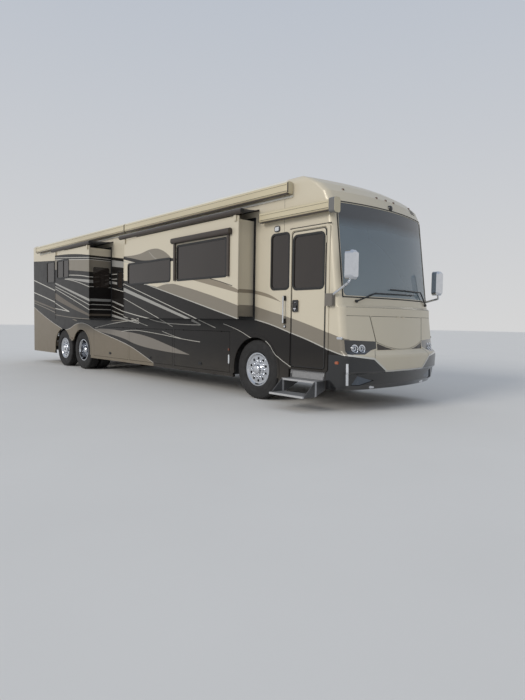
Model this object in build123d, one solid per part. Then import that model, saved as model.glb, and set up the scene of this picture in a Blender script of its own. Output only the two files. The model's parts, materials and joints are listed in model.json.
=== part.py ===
"""Motorhome: a 13.2 m rear-engined coach with a tag axle, slide-out rooms and roof awnings.

Millimetres. +X is forward, +Y is the driver's (left) side, +Z is up. The origin is on the ground
under the middle of the coach. Stations named "s" are counted from the front axle, + forward.
"""
from build123d import *
import math
import os

os.makedirs("parts", exist_ok=True)

# Running gear and overhangs
wheelbase = 7220
tag_spacing = 1260
nose_s = 2270
rear_overhang = 2450
tail_s = -(wheelbase + tag_spacing + rear_overhang)
front_axle_x = -(nose_s + tail_s) / 2
tyre_r = 530
tyre_w = 300
rim_r = 298
rim_w = 240
hub_r = 82
wheel_y = 1098
dual_gap = 350
kingpin_y = 960
spindle_r = 44
spindle_out = 110
dual_spindle_out = 60
fit_gap = 0.1
seat_gap = 0.3
arch_r = 620
arch_dip_z = 770

# Coach body
seam_s = 690
half_width = 1289
wall_t = 55
skirt_z = 350
wall_top_z = 3600
roof_edge_r = 152
roof_crown = 34
seam_gap = 6
floor_z = 1300
floor_t = 70
roof_t = 70

# Entry door, on the right side of the front cap
door_rear_s = 880
door_front_s = 1612
door_low_z = 650
door_top_z = 2845
door_t = 45
hinge_out = 8
hinge_leaf_t = 3
hinge_leaf_w = 25

# Slide-out rooms: each row is one room
# name, side (-1 right, +1 left), rear station, front station, low z, top z, reach past the wall
SLIDES = [
    ("front_slide", -1, -4053, -29, 1423, 3182, 386),
    ("rear_slide", -1, -7528, -5412, 1380, 3182, 590),
    ("left_slide", 1, -7528, -1700, 1400, 3182, 560),
]
slide_flange_t = 25
slide_flange_lap = 45
slide_wall_t = 40
slide_clear = 12
slide_inner_lap = 90
slide_runner_y = 760
topper_r = 45
topper_lap = 120

# Basement doors: rear station, front station; both sides alike
BAYS = [(-6420, -4560), (-4490, -2630), (-2560, -700)]
bay_low_z = 420
bay_top_z = 1190
bay_t = 35

# Chassis
rail_y = 430
rail_w = 80
rail_low_z = 760
rail_h = 250

# Rear engine door
engine_door_half = 780
engine_door_low_z = 640
engine_door_top_z = 1480
rear_t = 60
rear_depth = 380
rear_corner_r = 120
rear_brow_r = 260
brow_rise = 8

# Nose: height, distance of the centre line ahead of the front axle
NOSE = [(350, 2120), (430, 2190), (600, 2215), (640, 2262), (850, 2270), (885, 2262), (955, 2187),
        (1490, 2120), (1620, 2115), (1655, 2070), (1790, 2045), (3220, 1870)]
nose_big_r = 4200
nose_corner_r = 120
nose_back_s = 300
brow_s = 750
brow_low_z = 3100
brow_run = 1150
brow_angles = [27, 41, 54, 67, 78, 90]
cap_t = 55
bumper_rear_s = 1640
bumper_t = 40

# Windscreen
glass_t = 10
screen_low_z = 1795
screen_top_z = 3218
screen_half_low = 1182
screen_half_top = 1172

# Nose hatch: its lower edge sweeps down from the corners to the centre
hatch_top_z = 1488
hatch_corner_z = 1087
hatch_low_z = 962
hatch_half_top = 745
hatch_half_corner = 661
hatch_corner_r = 30

roof_top_z = wall_top_z + roof_edge_r + roof_crown
tail_x = front_axle_x + tail_s
seam_x = front_axle_x + seam_s
drive_x = front_axle_x - wheelbase
tag_x = drive_x - tag_spacing


def station(s):
    """X of a station counted from the front axle."""
    return front_axle_x + s


def block(x0, x1, y0, y1, z0, z1):
    return Pos((x0 + x1) / 2, (y0 + y1) / 2, (z0 + z1) / 2) * Box(abs(x1 - x0), abs(y1 - y0), abs(z1 - z0))


def prism_x(sketch, x0, x1):
    """Extrude a front-view sketch (its u is Y, its v is Z) from x0 to x1."""
    return extrude(Plane((x0, 0, 0), x_dir=(0, 1, 0), z_dir=(1, 0, 0)) * sketch, amount=x1 - x0)


def prism_y(sketch, y0, y1):
    """Extrude a side-view sketch (its u is X, its v is Z) from y0 to y1."""
    return extrude(Plane((0, y1, 0), x_dir=(1, 0, 0), z_dir=(0, -1, 0)) * sketch, amount=y1 - y0)


def prism_z(sketch, z0, z1):
    return extrude(Plane((0, 0, z0)) * sketch, amount=z1 - z0)


def rounded(u0, u1, v0, v1, r):
    return Pos((u0 + u1) / 2, (v0 + v1) / 2) * RectangleRounded(u1 - u0, v1 - v0, r)


def outline(points):
    return make_face(Polyline(*points, close=True))


def rod(p, q, r):
    """Round bar from point p to point q."""
    a, b = Vector(*p), Vector(*q)
    return extrude(Plane(a, z_dir=b - a) * Circle(r), amount=(b - a).length)


def side_rod(x, z, r, y0, y1):
    """Round bar along Y."""
    return Pos(x, (y0 + y1) / 2, z) * Rot(90, 0, 0) * Cylinder(r, abs(y1 - y0))


def save(name, shape):
    shape.label = name
    export_step(shape, "parts/" + name + ".step")


def hinge_x(side, x0, x1, z):
    """Hinge barrel and leaf along the top edge of a side door."""
    y = side * half_width
    barrel = Pos((x0 + x1) / 2, y + side * hinge_out, z) * Rot(0, 90, 0) * Cylinder(hinge_out - seat_gap, x1 - x0)
    return barrel + block(x0, x1, y, y + side * hinge_leaf_t, z - hinge_leaf_w, z)


def hinge_y(x, out, y0, y1, z, depth=0):
    """Hinge barrel and leaf along the top edge of an end door. out is +1 at the nose, -1 at the tail."""
    barrel = side_rod(x + out * hinge_out, z, hinge_out - seat_gap, y0, y1)
    return barrel + block(x - out * depth, x + out * hinge_leaf_t, y0, y1, z - hinge_leaf_w, z)


def hinge_z(x, z0, z1):
    """Hinge barrel and leaf at the front edge of the entry door."""
    y = -half_width
    barrel = Pos(x, y - hinge_out, (z0 + z1) / 2) * Cylinder(hinge_out - seat_gap, z1 - z0)
    return barrel + block(x - hinge_leaf_w, x, y - hinge_leaf_t, y, z0, z1)


def body_outline(inset, low_z):
    """Cross-section of the coach: straight sides, round roof edges and a crowned roof."""
    half = half_width - inset
    r = roof_edge_r - inset
    flat = half - r
    c = r * math.sqrt(0.5)
    left = -flat - c
    z = wall_top_z
    return make_face([
        Line((-half, low_z), (-half, z)),
        ThreePointArc((-half, z), (left, z + c), (-flat, z + r)),
        ThreePointArc((-flat, z + r), (0, z + r + roof_crown), (flat, z + r)),
        ThreePointArc((flat, z + r), (-left, z + c), (half, z)),
        Line((half, z), (half, low_z)),
        Line((half, low_z), (-half, low_z)),
    ])


def nose_plan(z, front, half, big_r, corner_r):
    """Plan of the nose at height z: flat sides, round corners and a shallow bowed front."""
    centre = front - big_r
    kx = centre + math.sqrt((big_r - corner_r) ** 2 - (half - corner_r) ** 2)
    a = math.atan2(half - corner_r, kx - centre)
    m = (a + math.pi / 2) / 2
    tx, ty = centre + big_r * math.cos(a), big_r * math.sin(a)
    mx, my = kx + corner_r * math.cos(m), half - corner_r + corner_r * math.sin(m)
    back = station(nose_back_s)
    return make_face([
        Line((back, -half, z), (kx, -half, z)),
        ThreePointArc((kx, -half, z), (mx, -my, z), (tx, -ty, z)),
        ThreePointArc((tx, -ty, z), (front, 0, z), (tx, ty, z)),
        ThreePointArc((tx, ty, z), (mx, my, z), (kx, half, z)),
        Line((kx, half, z), (back, half, z)),
        Line((back, half, z), (back, -half, z)),
    ])


def nose_solid(inset):
    """Solid of the nose and brow, drawn in by inset all round."""
    rows = [(z, s - inset) for z, s in NOSE]
    for a in brow_angles:
        rows.append((brow_low_z + (roof_top_z - brow_low_z - inset) * math.sin(math.radians(a)),
                     brow_s + (brow_run - inset) * math.cos(math.radians(a))))
    plans = [nose_plan(z, station(s), half_width - inset, nose_big_r - inset, nose_corner_r - inset / 2)
             for z, s in rows]
    return loft(plans, ruled=True) & prism_x(body_outline(inset, skirt_z - 1), station(nose_back_s), station(nose_s) + 1)


nose_outer = nose_solid(0)
nose_inner = nose_solid(cap_t)


def screen_outline(grow):
    """Front view of the windscreen, as a rounded trapezium."""
    low, top = screen_half_low + grow, screen_half_top + grow
    z0, z1 = screen_low_z - grow, screen_top_z + grow
    face = outline([(-low, z0), (low, z0), (top, z1), (-top, z1)])
    return fillet(face.vertices(), 60)


def hatch_outline(grow):
    corner, top = hatch_half_corner + grow, hatch_half_top + grow
    low_z, corner_z, top_z = hatch_low_z - grow, hatch_corner_z - grow, hatch_top_z + grow
    face = make_face([
        ThreePointArc((-corner, corner_z), (0, low_z), (corner, corner_z)),
        Line((corner, corner_z), (top, top_z)),
        Line((top, top_z), (-top, top_z)),
        Line((-top, top_z), (-corner, corner_z)),
    ])
    return fillet(face.vertices(), hatch_corner_r)


def under_hatch():
    """Front view of the shadow recess between the hatch's lower edge and the ledge, both sides."""
    below = outline([(-hatch_half_corner + 10, recess_low_z), (hatch_half_corner - 10, recess_low_z),
                     (hatch_half_corner - 10, hatch_corner_z), (-hatch_half_corner + 10, hatch_corner_z)])
    return below - hatch_outline(recess_rim)


def wheel_arches(y0, y1):
    """Round wheel openings cut through a side wall."""
    cuts = [side_rod(x, tyre_r, arch_r, y0, y1) for x in (front_axle_x, drive_x, tag_x)]
    return cuts[0] + cuts[1] + cuts[2] + block(tag_x, drive_x, y0, y1, skirt_z - 10, arch_dip_z)


# Side windows in the fixed body: side, rear station, front station, low z, top z, corner radius
WINDOWS = [
    (-1, 383, 820, 1917, 2854, 80),
    (-1, -5100, -4820, 2135, 2575, 50),
    (-1, -9700, -9100, 2480, 3125, 60),
    (1, 420, 1480, 1915, 2852, 70),
    (1, -9700, -9100, 2480, 3125, 60),
    (1, -1250, -450, 2250, 2950, 60),
]
window_t = 24
pane_proud = 5
pane_frame = 30
glass_recess = 6


def window_cut(side, s0, s1, z0, z1, r):
    y = side * half_width
    return prism_y(rounded(station(s0), station(s1), z0, z1, r), y - 100, y + 100)


def window_pane(side, s0, s1, z0, z1, r):
    """Pane with its proud frame, filling a window opening."""
    y = side * half_width
    edge = pane_frame
    outer = rounded(station(s0), station(s1), z0, z1, r)
    hole = rounded(station(s0) + edge, station(s1) - edge, z0 + edge, z1 - edge, r - 20)
    depth = sorted((y - side * window_t, y + side * pane_proud))
    recess = sorted((y - side * glass_recess, y + side * glass_recess))
    return prism_y(outer, *depth) - prism_y(hole, *recess)


def slide_opening(row):
    """Hole in the side wall for a slide-out room."""
    name, side, s0, s1, z0, z1, reach = row
    lap = slide_flange_lap - slide_clear
    y = side * half_width
    return block(station(s0) + lap, station(s1) - lap, y - 100, y + 100, z0 + lap, z1 - lap)


def side_wall(side):
    """One side wall: flat panel with wheel arches, slide-out holes, bay door holes and windows."""
    y_out, y_in = side * half_width, side * (half_width - wall_t)
    wall = block(tail_x + rear_depth, seam_x, y_out, y_in, skirt_z, wall_top_z)
    wall -= wheel_arches(min(y_out, y_in) - 50, max(y_out, y_in) + 50)
    for row in SLIDES:
        if row[1] == side:
            wall -= slide_opening(row)
    for s0, s1 in BAYS:
        wall -= block(station(s0), station(s1), y_out - 100, y_out + 100, bay_low_z, bay_top_z)
    for win in WINDOWS:
        if win[0] == side:
            wall -= window_cut(*win)
    return wall


save("wall_right", side_wall(-1))
save("wall_left", side_wall(1))


# Roof skin between the rear cap and the front cap
roof_solid = prism_x(body_outline(0, skirt_z), tail_x + rear_depth, seam_x)
roof_solid -= prism_x(body_outline(roof_t, skirt_z - 1), tail_x, seam_x + 1)
save("roof", roof_solid & block(tail_x, seam_x, -half_width, half_width, wall_top_z, roof_top_z + 1))


def rear_solid(inset):
    """Rear end of the coach, with round upright corners and a round top edge."""
    x0, x1 = tail_x + inset, tail_x + rear_depth
    half = half_width - inset
    r = rear_corner_r - inset
    top = roof_top_z - inset + brow_rise
    b = rear_brow_r - inset
    c = b * (1 - math.sqrt(0.5))
    plan = make_face([
        Line((x1 + 1, -half), (x0 + r, -half)),
        RadiusArc((x0 + r, -half), (x0, -half + r), r),
        Line((x0, -half + r), (x0, half - r)),
        RadiusArc((x0, half - r), (x0 + r, half), r),
        Line((x0 + r, half), (x1 + 1, half)),
        Line((x1 + 1, half), (x1 + 1, -half)),
    ])
    side = make_face([
        Line((x0, skirt_z), (x0, top - b)),
        ThreePointArc((x0, top - b), (x0 + c, top - c), (x0 + b, top)),
        Line((x0 + b, top), (x1 + 1, top)),
        Line((x1 + 1, top), (x1 + 1, skirt_z - 1)),
        Line((x1 + 1, skirt_z - 1), (x0, skirt_z - 1)),
        Line((x0, skirt_z - 1), (x0, skirt_z)),
    ])
    solid = prism_x(body_outline(inset, skirt_z), x0, x1) & prism_y(side, -half - 1, half + 1)
    return solid & prism_z(plan, skirt_z - 1, top + 1)


# Rear cap with the engine door opening, a notch for the hitch and lamp pockets
lamp_t = 30
tail_lamp_y = 1085
tail_lamp_w = 130
tail_lamp_low_z = 900
tail_lamp_top_z = 1560
receiver_half = 38
receiver_z = 478


def tail_lamp(side):
    y = side * tail_lamp_y
    face = rounded(y - tail_lamp_w / 2, y + tail_lamp_w / 2, tail_lamp_low_z, tail_lamp_top_z, 40)
    return prism_x(face, tail_x - 12, tail_x + lamp_t)


rear = rear_solid(0) - rear_solid(rear_t)
rear -= prism_x(rounded(-engine_door_half, engine_door_half, engine_door_low_z, engine_door_top_z, 50),
                tail_x - 10, tail_x + rear_t + 10)
rear -= block(tail_x - 10, tail_x + rear_t + 10, -receiver_half - 20, receiver_half + 20, skirt_z - 10, receiver_z + 60)
for side in (-1, 1):
    rear -= tail_lamp(side)
save("rear_cap", rear)
lamps = [tail_lamp(side) for side in (-1, 1)]

# Engine door with a bank of louvre slots, hinged along its top edge
louvre_pitch = 55
louvre_slots = 9
louvre_low = 170
louvre_h = 24
louvre_half = 560
hinge_l = 120
engine_door_t = 45
engine_door = prism_x(rounded(-engine_door_half + seam_gap, engine_door_half - seam_gap,
                              engine_door_low_z + seam_gap, engine_door_top_z - seam_gap, 44),
                      tail_x, tail_x + engine_door_t)
for i in range(louvre_slots):
    z = engine_door_low_z + louvre_low + i * louvre_pitch
    engine_door -= block(tail_x - 10, tail_x + 60, -louvre_half, louvre_half, z, z + louvre_h)
for y in (-louvre_half, louvre_half - hinge_l):
    engine_door += hinge_y(tail_x, -1, y, y + hinge_l, engine_door_top_z - seam_gap / 2, 5)
save("engine_door", engine_door)


def nose_x(y, z):
    """X of the nose skin at width y and height z, below the brow."""
    for (z0, s0), (z1, s1) in zip(NOSE, NOSE[1:]):
        if z0 <= z <= z1:
            front = s0 + (s1 - s0) * (z - z0) / (z1 - z0)
    centre = front - nose_big_r
    tangent = nose_big_r * (half_width - nose_corner_r) / (nose_big_r - nose_corner_r)
    if abs(y) <= tangent:
        return station(centre + math.sqrt(nose_big_r ** 2 - y ** 2))
    kx = centre + math.sqrt((nose_big_r - nose_corner_r) ** 2 - (half_width - nose_corner_r) ** 2)
    dy = abs(y) - (half_width - nose_corner_r)
    return station(kx + math.sqrt(nose_corner_r ** 2 - dy ** 2))


# Lower front valance: its top edge steps down under the centre of the nose. Columns: y, z
VALANCE = [(1310, 889), (810, 830), (520, 628)]


def valance_outline(grow):
    right = [(-y, z + grow) for y, z in VALANCE]
    left = [(y, z + grow) for y, z in reversed(VALANCE)]
    return outline([(1310, skirt_z - 5), (-1310, skirt_z - 5)] + right + left)


# Headlamp, front view of the right one. Columns: y, z
HEADLAMP = [(-1255, 905), (-960, 901), (-760, 968), (-668, 985), (-668, 1096), (-1255, 1121)]


def headlamp_prism(side):
    return prism_x(outline([(side * -y, z) for y, z in HEADLAMP]), station(1500), station(nose_s) + 20)


# Round lamps in each headlamp. Columns: y of the right one, outer radius
ROUND_LAMPS = [(-1100, 50), (-965, 47)]
round_lamp_z = 990
bezel_w = 10
bezel_out = 7
bowl_depth = 14


def round_lamp(side, y, r):
    """Bezel ring and the bowl inside it, as a pair of solids."""
    x = nose_x(y, round_lamp_z)
    ring = Pos(0, 0) * Circle(r) - Circle(r - bezel_w)
    place = Pos(side * -y, round_lamp_z)
    return (prism_x(place * ring, x - bowl_depth - 4, x + bezel_out),
            prism_x(place * Circle(r - bezel_w), x - bowl_depth, x + bezel_out + 20))


# Slanting facet in each lower corner of the bumper, front view of the right one. Columns: y, z
FACET = [(-1159, 430), (-1057, 588), (-721, 494), (-997, 423)]
recess_depth = 16
recess_low_z = 958
recess_rim = 12
recess_skin = nose_outer - nose_solid(recess_depth)

# Front cap: nose shell with the door, windscreen, hatch, lamp and valance openings
step_low_z = 340
sill_h = 40
cap = nose_outer - nose_inner
cap &= block(seam_x, station(nose_s) + 10, -half_width - 1, half_width + 1, skirt_z, roof_top_z + 10)
cap -= prism_x(valance_outline(0), station(bumper_rear_s), station(nose_s) + 20)
cap -= prism_x(screen_outline(0), station(1300), station(nose_s) + 20)
cap -= prism_x(hatch_outline(0), station(1500), station(nose_s) + 20)
cap -= prism_x(under_hatch(), station(1500), station(nose_s) + 20) & recess_skin
door_hole = rounded(station(door_rear_s) - seam_gap, station(door_front_s) + seam_gap,
                    door_low_z - seam_gap, door_top_z + seam_gap, 60)
cap -= prism_y(door_hole, -half_width - 50, -half_width + 120)
cap -= block(station(door_rear_s) - 40, station(door_front_s) + 20, -half_width - 50, -half_width + 120,
             step_low_z, door_low_z - sill_h)
for win in WINDOWS:
    if win[2] > seam_s:
        cap -= window_cut(*win)
for side in (-1, 1):
    cap -= headlamp_prism(side)
save("front_cap", cap)
save("windshield", (nose_solid(4) - nose_solid(4 + glass_t))
     & prism_x(screen_outline(0), station(1300), station(nose_s)))
hatch_skin_t = 8
hatch_t = 35
hatch_frame_inset = 45
hatch = (nose_outer - nose_solid(hatch_skin_t)) & prism_x(hatch_outline(-seam_gap), station(1500), station(nose_s))
hatch += ((nose_solid(hatch_skin_t - 1) - nose_solid(hatch_t))
          & prism_x(hatch_outline(-hatch_frame_inset), station(1500), station(nose_s)))
hatch_hinge_z = hatch_top_z - seam_gap / 2
for y in (-110, 40):
    hatch += hinge_y(nose_x(75, hatch_hinge_z), 1, y, y + 70, hatch_hinge_z, 5)
save("nose_hatch", hatch)
lamp_skin = nose_outer - nose_solid(lamp_t)
for side in (-1, 1):
    headlamp = lamp_skin & headlamp_prism(side)
    for y, r in ROUND_LAMPS:
        bezel, bowl = round_lamp(side, y, r)
        headlamp = headlamp + bezel - bowl
    lamps.append(headlamp.solid())
save("lamps", Compound(lamps))
bumper = (nose_outer - nose_solid(bumper_t)) & prism_x(valance_outline(0), station(bumper_rear_s), station(nose_s) + 10)
for side in (-1, 1):
    facet = outline([(side * -y, z) for y, z in FACET])
    bumper -= prism_x(facet, station(1500), station(nose_s) + 20) & recess_skin
save("front_bumper", bumper)

# Windows of the fixed body
panes = [window_pane(*win) for win in WINDOWS]
save("wall_windows", Compound([p.solid() for p in panes]))

# Entry door and its window
door_face = rounded(station(door_rear_s), station(door_front_s), door_low_z, door_top_z, 55)
door = prism_y(door_face, -half_width, -half_width + door_t)
door_window = (-1, 905, 1570, 1901, 2781, 80)
door -= window_cut(*door_window)
latch = rounded(station(919), station(1050), 1543, 1740, 20)
door += prism_y(latch, -half_width - 15, -half_width)
for z in (800, 1700, 2600):
    door += hinge_z(station(door_front_s) + seam_gap / 2, z, z + 110)
save("entry_door", door)
save("entry_door_window", window_pane(*door_window))

# Grab handle beside the door
grab_s = 738
grab_r = 14
grab_y = -half_width - 52
grab = rod((station(grab_s), grab_y, 1363), (station(grab_s), grab_y, 1802), grab_r)
for z in (1390, 1775):
    grab += rod((station(grab_s), grab_y, z), (station(grab_s), -half_width, z), grab_r - 2)
save("grab_handle", grab)

# Cabin floor with the stairwell behind the entry door
inner_half = half_width - wall_t
stair_s0, stair_s1 = 860, 1585
stair_t = sill_h
riser = (floor_z - door_low_z) / 3
going = 240
floor = block(tail_x + rear_depth, seam_x, -inner_half, inner_half, floor_z - floor_t, floor_z)
floor += nose_inner & block(seam_x, station(nose_s), -inner_half, inner_half, floor_z - floor_t, floor_z)
floor -= block(station(stair_s0), station(stair_s1), -inner_half - 1, -inner_half + 3 * going + 20, floor_z - floor_t - 1,
               floor_z + 1)
low = door_low_z - stair_t
steps = block(station(stair_s0), station(stair_s1), -inner_half, -inner_half + going, low, door_low_z)
for i in (1, 2, 3):
    y = -inner_half + i * going
    z = door_low_z + i * riser
    steps += block(station(stair_s0), station(stair_s1), y - 20, y + 20, z - riser - stair_t, z)
    if i < 3:
        steps += block(station(stair_s0), station(stair_s1), y - 20, y + going, z - stair_t, z)
save("cabin_floor", floor + steps)

# Cab: dashboard, steering wheel and two seats
dash_half = 1150
dash_front_s = 1960
dash_side_s = 1800
dash = outline([(station(1610), floor_z), (station(1610), 1640), (station(1680), 1720), (station(dash_front_s), 1750),
                (station(dash_front_s), floor_z)])
dash_plan = make_face([
    Line((station(1600), -dash_half), (station(dash_side_s), -dash_half)),
    ThreePointArc((station(dash_side_s), -dash_half), (station(dash_front_s), 0), (station(dash_side_s), dash_half)),
    Line((station(dash_side_s), dash_half), (station(1600), dash_half)),
    Line((station(1600), dash_half), (station(1600), -dash_half)),
])
dash_solid = prism_y(dash, -dash_half, dash_half) & prism_z(dash_plan, floor_z, 1760)
wheel_c = Vector(station(1430), 620, 1900)
column = Vector(station(1640), 620, 1660)
tilt = Plane(wheel_c, z_dir=wheel_c - column)
steering = tilt * Torus(215, 16)
steering += extrude(tilt * Circle(45), amount=20, both=True)
for i in range(3):
    steering += tilt * (Rot(0, 0, 90 + i * 120) * Pos(105, 0, 0) * Box(205, 30, 14))
steering += rod(wheel_c, column, 24)
save("dashboard", dash_solid + steering)


def seat(s, y):
    """Captain's chair on a pedestal, facing forward."""
    x = station(s)
    part = block(x - 180, x + 180, y - 180, y + 180, floor_z, floor_z + 250)
    cushion = prism_z(rounded(x - 270, x + 270, y - 270, y + 270, 70), floor_z + 250, floor_z + 420)
    part += chamfer(cushion.edges().group_by(Axis.Z)[-1], 35)
    back = outline([(x - 270, floor_z + 400), (x - 110, floor_z + 400), (x - 240, floor_z + 1130), (x - 370, floor_z + 1130)])
    part += chamfer(prism_y(back, y - 250, y + 250).edges(), 30)
    for side in (-1, 1):
        part += block(x - 200, x + 180, y + side * 270, y + side * 330, floor_z + 560, floor_z + 620)
        part += block(x - 200, x - 150, y + side * 240, y + side * 330, floor_z + 400, floor_z + 600)
    return part.solid()


save("cab_seats", Compound([seat(980, 620), seat(420, -620)]))

# Basement: floor pan and cross walls between the bays
pan_z = 385
pan_t = 30
rail_clear = 1
basement = block(station(BAYS[0][0] - 60), station(BAYS[-1][1] + 50), -inner_half, inner_half, pan_z, pan_z + pan_t)
walls_s = [BAYS[0][0] - 60] + [(a[1] + b[0]) / 2 - 15 for a, b in zip(BAYS, BAYS[1:])] + [BAYS[-1][1] + 20]
for s in walls_s:
    basement += block(station(s), station(s + 30), -inner_half, inner_half, pan_z, floor_z - floor_t)
for side in (-1, 1):
    y = side * rail_y
    grown = rail_w / 2 + rail_clear
    basement -= block(station(BAYS[0][0]) - 200, station(BAYS[-1][1]) + 200, y - grown, y + grown,
                      rail_low_z - rail_clear, rail_low_z + rail_h + rail_clear)
save("basement", basement)

# Storage bay doors, hinged along their top edges
for side, word in ((-1, "right"), (1, "left")):
    for i, (s0, s1) in enumerate(BAYS):
        face = rounded(station(s0) + seam_gap, station(s1) - seam_gap, bay_low_z + seam_gap, bay_top_z - seam_gap, 20)
        y0, y1 = side * half_width, side * (half_width - bay_t)
        bay = prism_y(face, min(y0, y1), max(y0, y1))
        for s in (s0 + 250, s1 - 350):
            bay += hinge_x(side, station(s), station(s + 100), bay_top_z - seam_gap / 2)
        save("bay_door_" + word + "_" + str(i + 1), bay)

# Chassis frame: two rails, cross tubes and posts up to the floor
CROSS = [1750, 900, -1600, -3500, -5500, -8750, -10600]
frame_front_s = 1850
rail_x0, rail_x1 = tail_x + 90, station(frame_front_s)
frame = block(rail_x0, rail_x1, rail_y - rail_w / 2, rail_y + rail_w / 2, rail_low_z, rail_low_z + rail_h)
frame += block(rail_x0, rail_x1, -rail_y - rail_w / 2, -rail_y + rail_w / 2, rail_low_z, rail_low_z + rail_h)
for s in CROSS:
    frame += block(station(s), station(s) + 90, -rail_y, rail_y, rail_low_z + 60, rail_low_z + 190)
    for side in (-1, 1):
        y = side * rail_y
        if s < 1000:
            frame += block(station(s), station(s) + 90, y - 35, y + 35, rail_low_z + rail_h, floor_z - floor_t)

# Cross tube under the tail that carries the hitch, hung from the rails on plates
hitch_x1 = tail_x + 124
hitch_tube_w = 76
frame += block(hitch_x1, hitch_x1 + hitch_tube_w, -rail_y - 40, rail_y + 40,
               receiver_z - receiver_half, receiver_z + receiver_half)
for side in (-1, 1):
    y = side * rail_y
    frame += block(hitch_x1, hitch_x1 + hitch_tube_w + 60, y - 10, y + 10, receiver_z - receiver_half, rail_low_z + 1)
save("chassis_frame", frame)

# Engine and gearbox as one block behind the tag axle, with its exhaust pipe
engine_half = 360
engine = block(tail_x + 560, tail_x + 1700, -engine_half, engine_half, 500, 1190)
engine += block(tail_x + 1700, tail_x + 2060, -230, 230, 560, 1000)
engine += side_rod(tail_x + 700, 440, 62, -engine_half - 620, -engine_half + 100)
engine += block(tail_x + 640, tail_x + 760, -engine_half, -engine_half + 120, 440, 520)
for x in (tail_x + 620, tail_x + 1500):
    engine += block(x, x + 90, -rail_y + rail_w / 2, rail_y - rail_w / 2, 800, 880)
save("engine", engine)

# Hitch receiver: square tube behind the hung cross tube, with a cross hole for its pin
receiver_bore = 51
receiver_pin_r = 8.1
receiver_out = 90
receiver_pin_x = tail_x - 34
hitch_x0 = tail_x - receiver_out
hitch = block(hitch_x0, hitch_x1, -receiver_half, receiver_half, receiver_z - receiver_half, receiver_z + receiver_half)
hitch -= block(hitch_x0 - 1, hitch_x1 + 1, -receiver_bore / 2, receiver_bore / 2,
               receiver_z - receiver_bore / 2, receiver_z + receiver_bore / 2)
hitch -= side_rod(receiver_pin_x, receiver_z, receiver_pin_r, -100, 100)
save("hitch_receiver", hitch)

# Front axle beam with raised ends round the kingpins, and its air springs
kingpin_r = 22
boss_r = 55
boss_low, boss_top = tyre_r - 60, tyre_r + 60
beam = block(front_axle_x - 55, front_axle_x + 55, -kingpin_y + 110, kingpin_y - 110, boss_low - 70, boss_low + 30)
for side in (-1, 1):
    k = side * kingpin_y
    inner = side * (kingpin_y - 160)
    mid = side * (kingpin_y - 70)
    beam += block(front_axle_x - 50, front_axle_x + 50, inner, mid, boss_low - 70, boss_top)
    beam += block(front_axle_x - 45, front_axle_x + 45, mid, k, boss_low, boss_top)
    beam += Pos(front_axle_x, k, tyre_r) * Cylinder(boss_r, boss_top - boss_low)
    beam -= Pos(front_axle_x, k, tyre_r) * Cylinder(kingpin_r + fit_gap, 300)
    beam += Pos(front_axle_x, side * rail_y, (boss_low + 30 + rail_low_z) / 2) * Cylinder(105, rail_low_z - boss_low - 30)
save("front_axle", beam)

# Steering knuckles: ears above and below the beam end, web and spindle
ear_t = 45
web_y = 72
for side, word in ((-1, "right"), (1, "left")):
    k = side * kingpin_y
    knuckle = Pos(front_axle_x, k, tyre_r) * Cylinder(kingpin_r, 2 * (60 + seat_gap + ear_t))
    for z in (boss_low - seat_gap - ear_t / 2, boss_top + seat_gap + ear_t / 2):
        knuckle += Pos(front_axle_x, k, z) * Cylinder(boss_r, ear_t)
        knuckle += block(front_axle_x - 50, front_axle_x + 50, k, k + side * web_y, z - ear_t / 2, z + ear_t / 2)
    low, top = boss_low - seat_gap - ear_t, boss_top + seat_gap + ear_t
    knuckle += block(front_axle_x - 50, front_axle_x + 50, k + side * (boss_r + 8), k + side * (web_y + 18), low, top)
    knuckle += side_rod(front_axle_x, tyre_r, spindle_r, k + side * web_y, side * (wheel_y + spindle_out))
    save("knuckle_" + word, knuckle)

def lathe(x, y, side, profile):
    """Turn a profile of (outward distance, radius) points about a wheel's axle."""
    turned = revolve(outline([(w, r) for w, r in profile]), axis=Axis.X)
    return Pos(x, y, tyre_r) * Rot(0, 0, 90 * side) * turned


# Rear axles: drive axle with its differential, and the tag axle, each with air springs to the rails
axle_r = 75
dual_inner_y = wheel_y - dual_gap
drive = side_rod(drive_x, tyre_r, axle_r, -dual_inner_y + 130, dual_inner_y - 130)
drive += side_rod(drive_x, tyre_r, spindle_r, -wheel_y - dual_spindle_out, wheel_y + dual_spindle_out)
drive += lathe(drive_x, 0, 1, [(-150, 60), (-110, 170), (-60, 205), (60, 205), (110, 170), (150, 60)])
tag = side_rod(tag_x, tyre_r, axle_r, -wheel_y + 150, wheel_y - 150)
tag += side_rod(tag_x, tyre_r, spindle_r, -wheel_y - spindle_out, wheel_y + spindle_out)
for axle, x, name in ((drive, drive_x, "drive_axle"), (tag, tag_x, "tag_axle")):
    for side in (-1, 1):
        y = side * rail_y
        axle += block(x - 70, x + 70, y - 60, y + 60, tyre_r, tyre_r + 110)
        axle += Pos(x, y, (tyre_r + 110 + rail_low_z) / 2) * Cylinder(110, rail_low_z - tyre_r - 110)
    save(name, axle)


def tyre(x, y, side):
    h = tyre_w / 2
    r0 = rim_r + seat_gap
    return lathe(x, y, side, [(-h + 35, r0), (h - 35, r0), (h - 8, r0 + 45), (h, r0 + 110), (h - 12, tyre_r - 28),
                              (h - 45, tyre_r), (-h + 45, tyre_r), (-h + 12, tyre_r - 28), (-h, r0 + 110),
                              (-h + 8, r0 + 45)])


hand_holes = 10
hand_hole_r = 24
hand_hole_ring = 200
bore = spindle_r + fit_gap
disc_in, disc_out, disc_r = 75, 96, 236
hub_end = 118
hub_cap_r = 62
hub_cap_out = 40
cap_clear = 1


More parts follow.
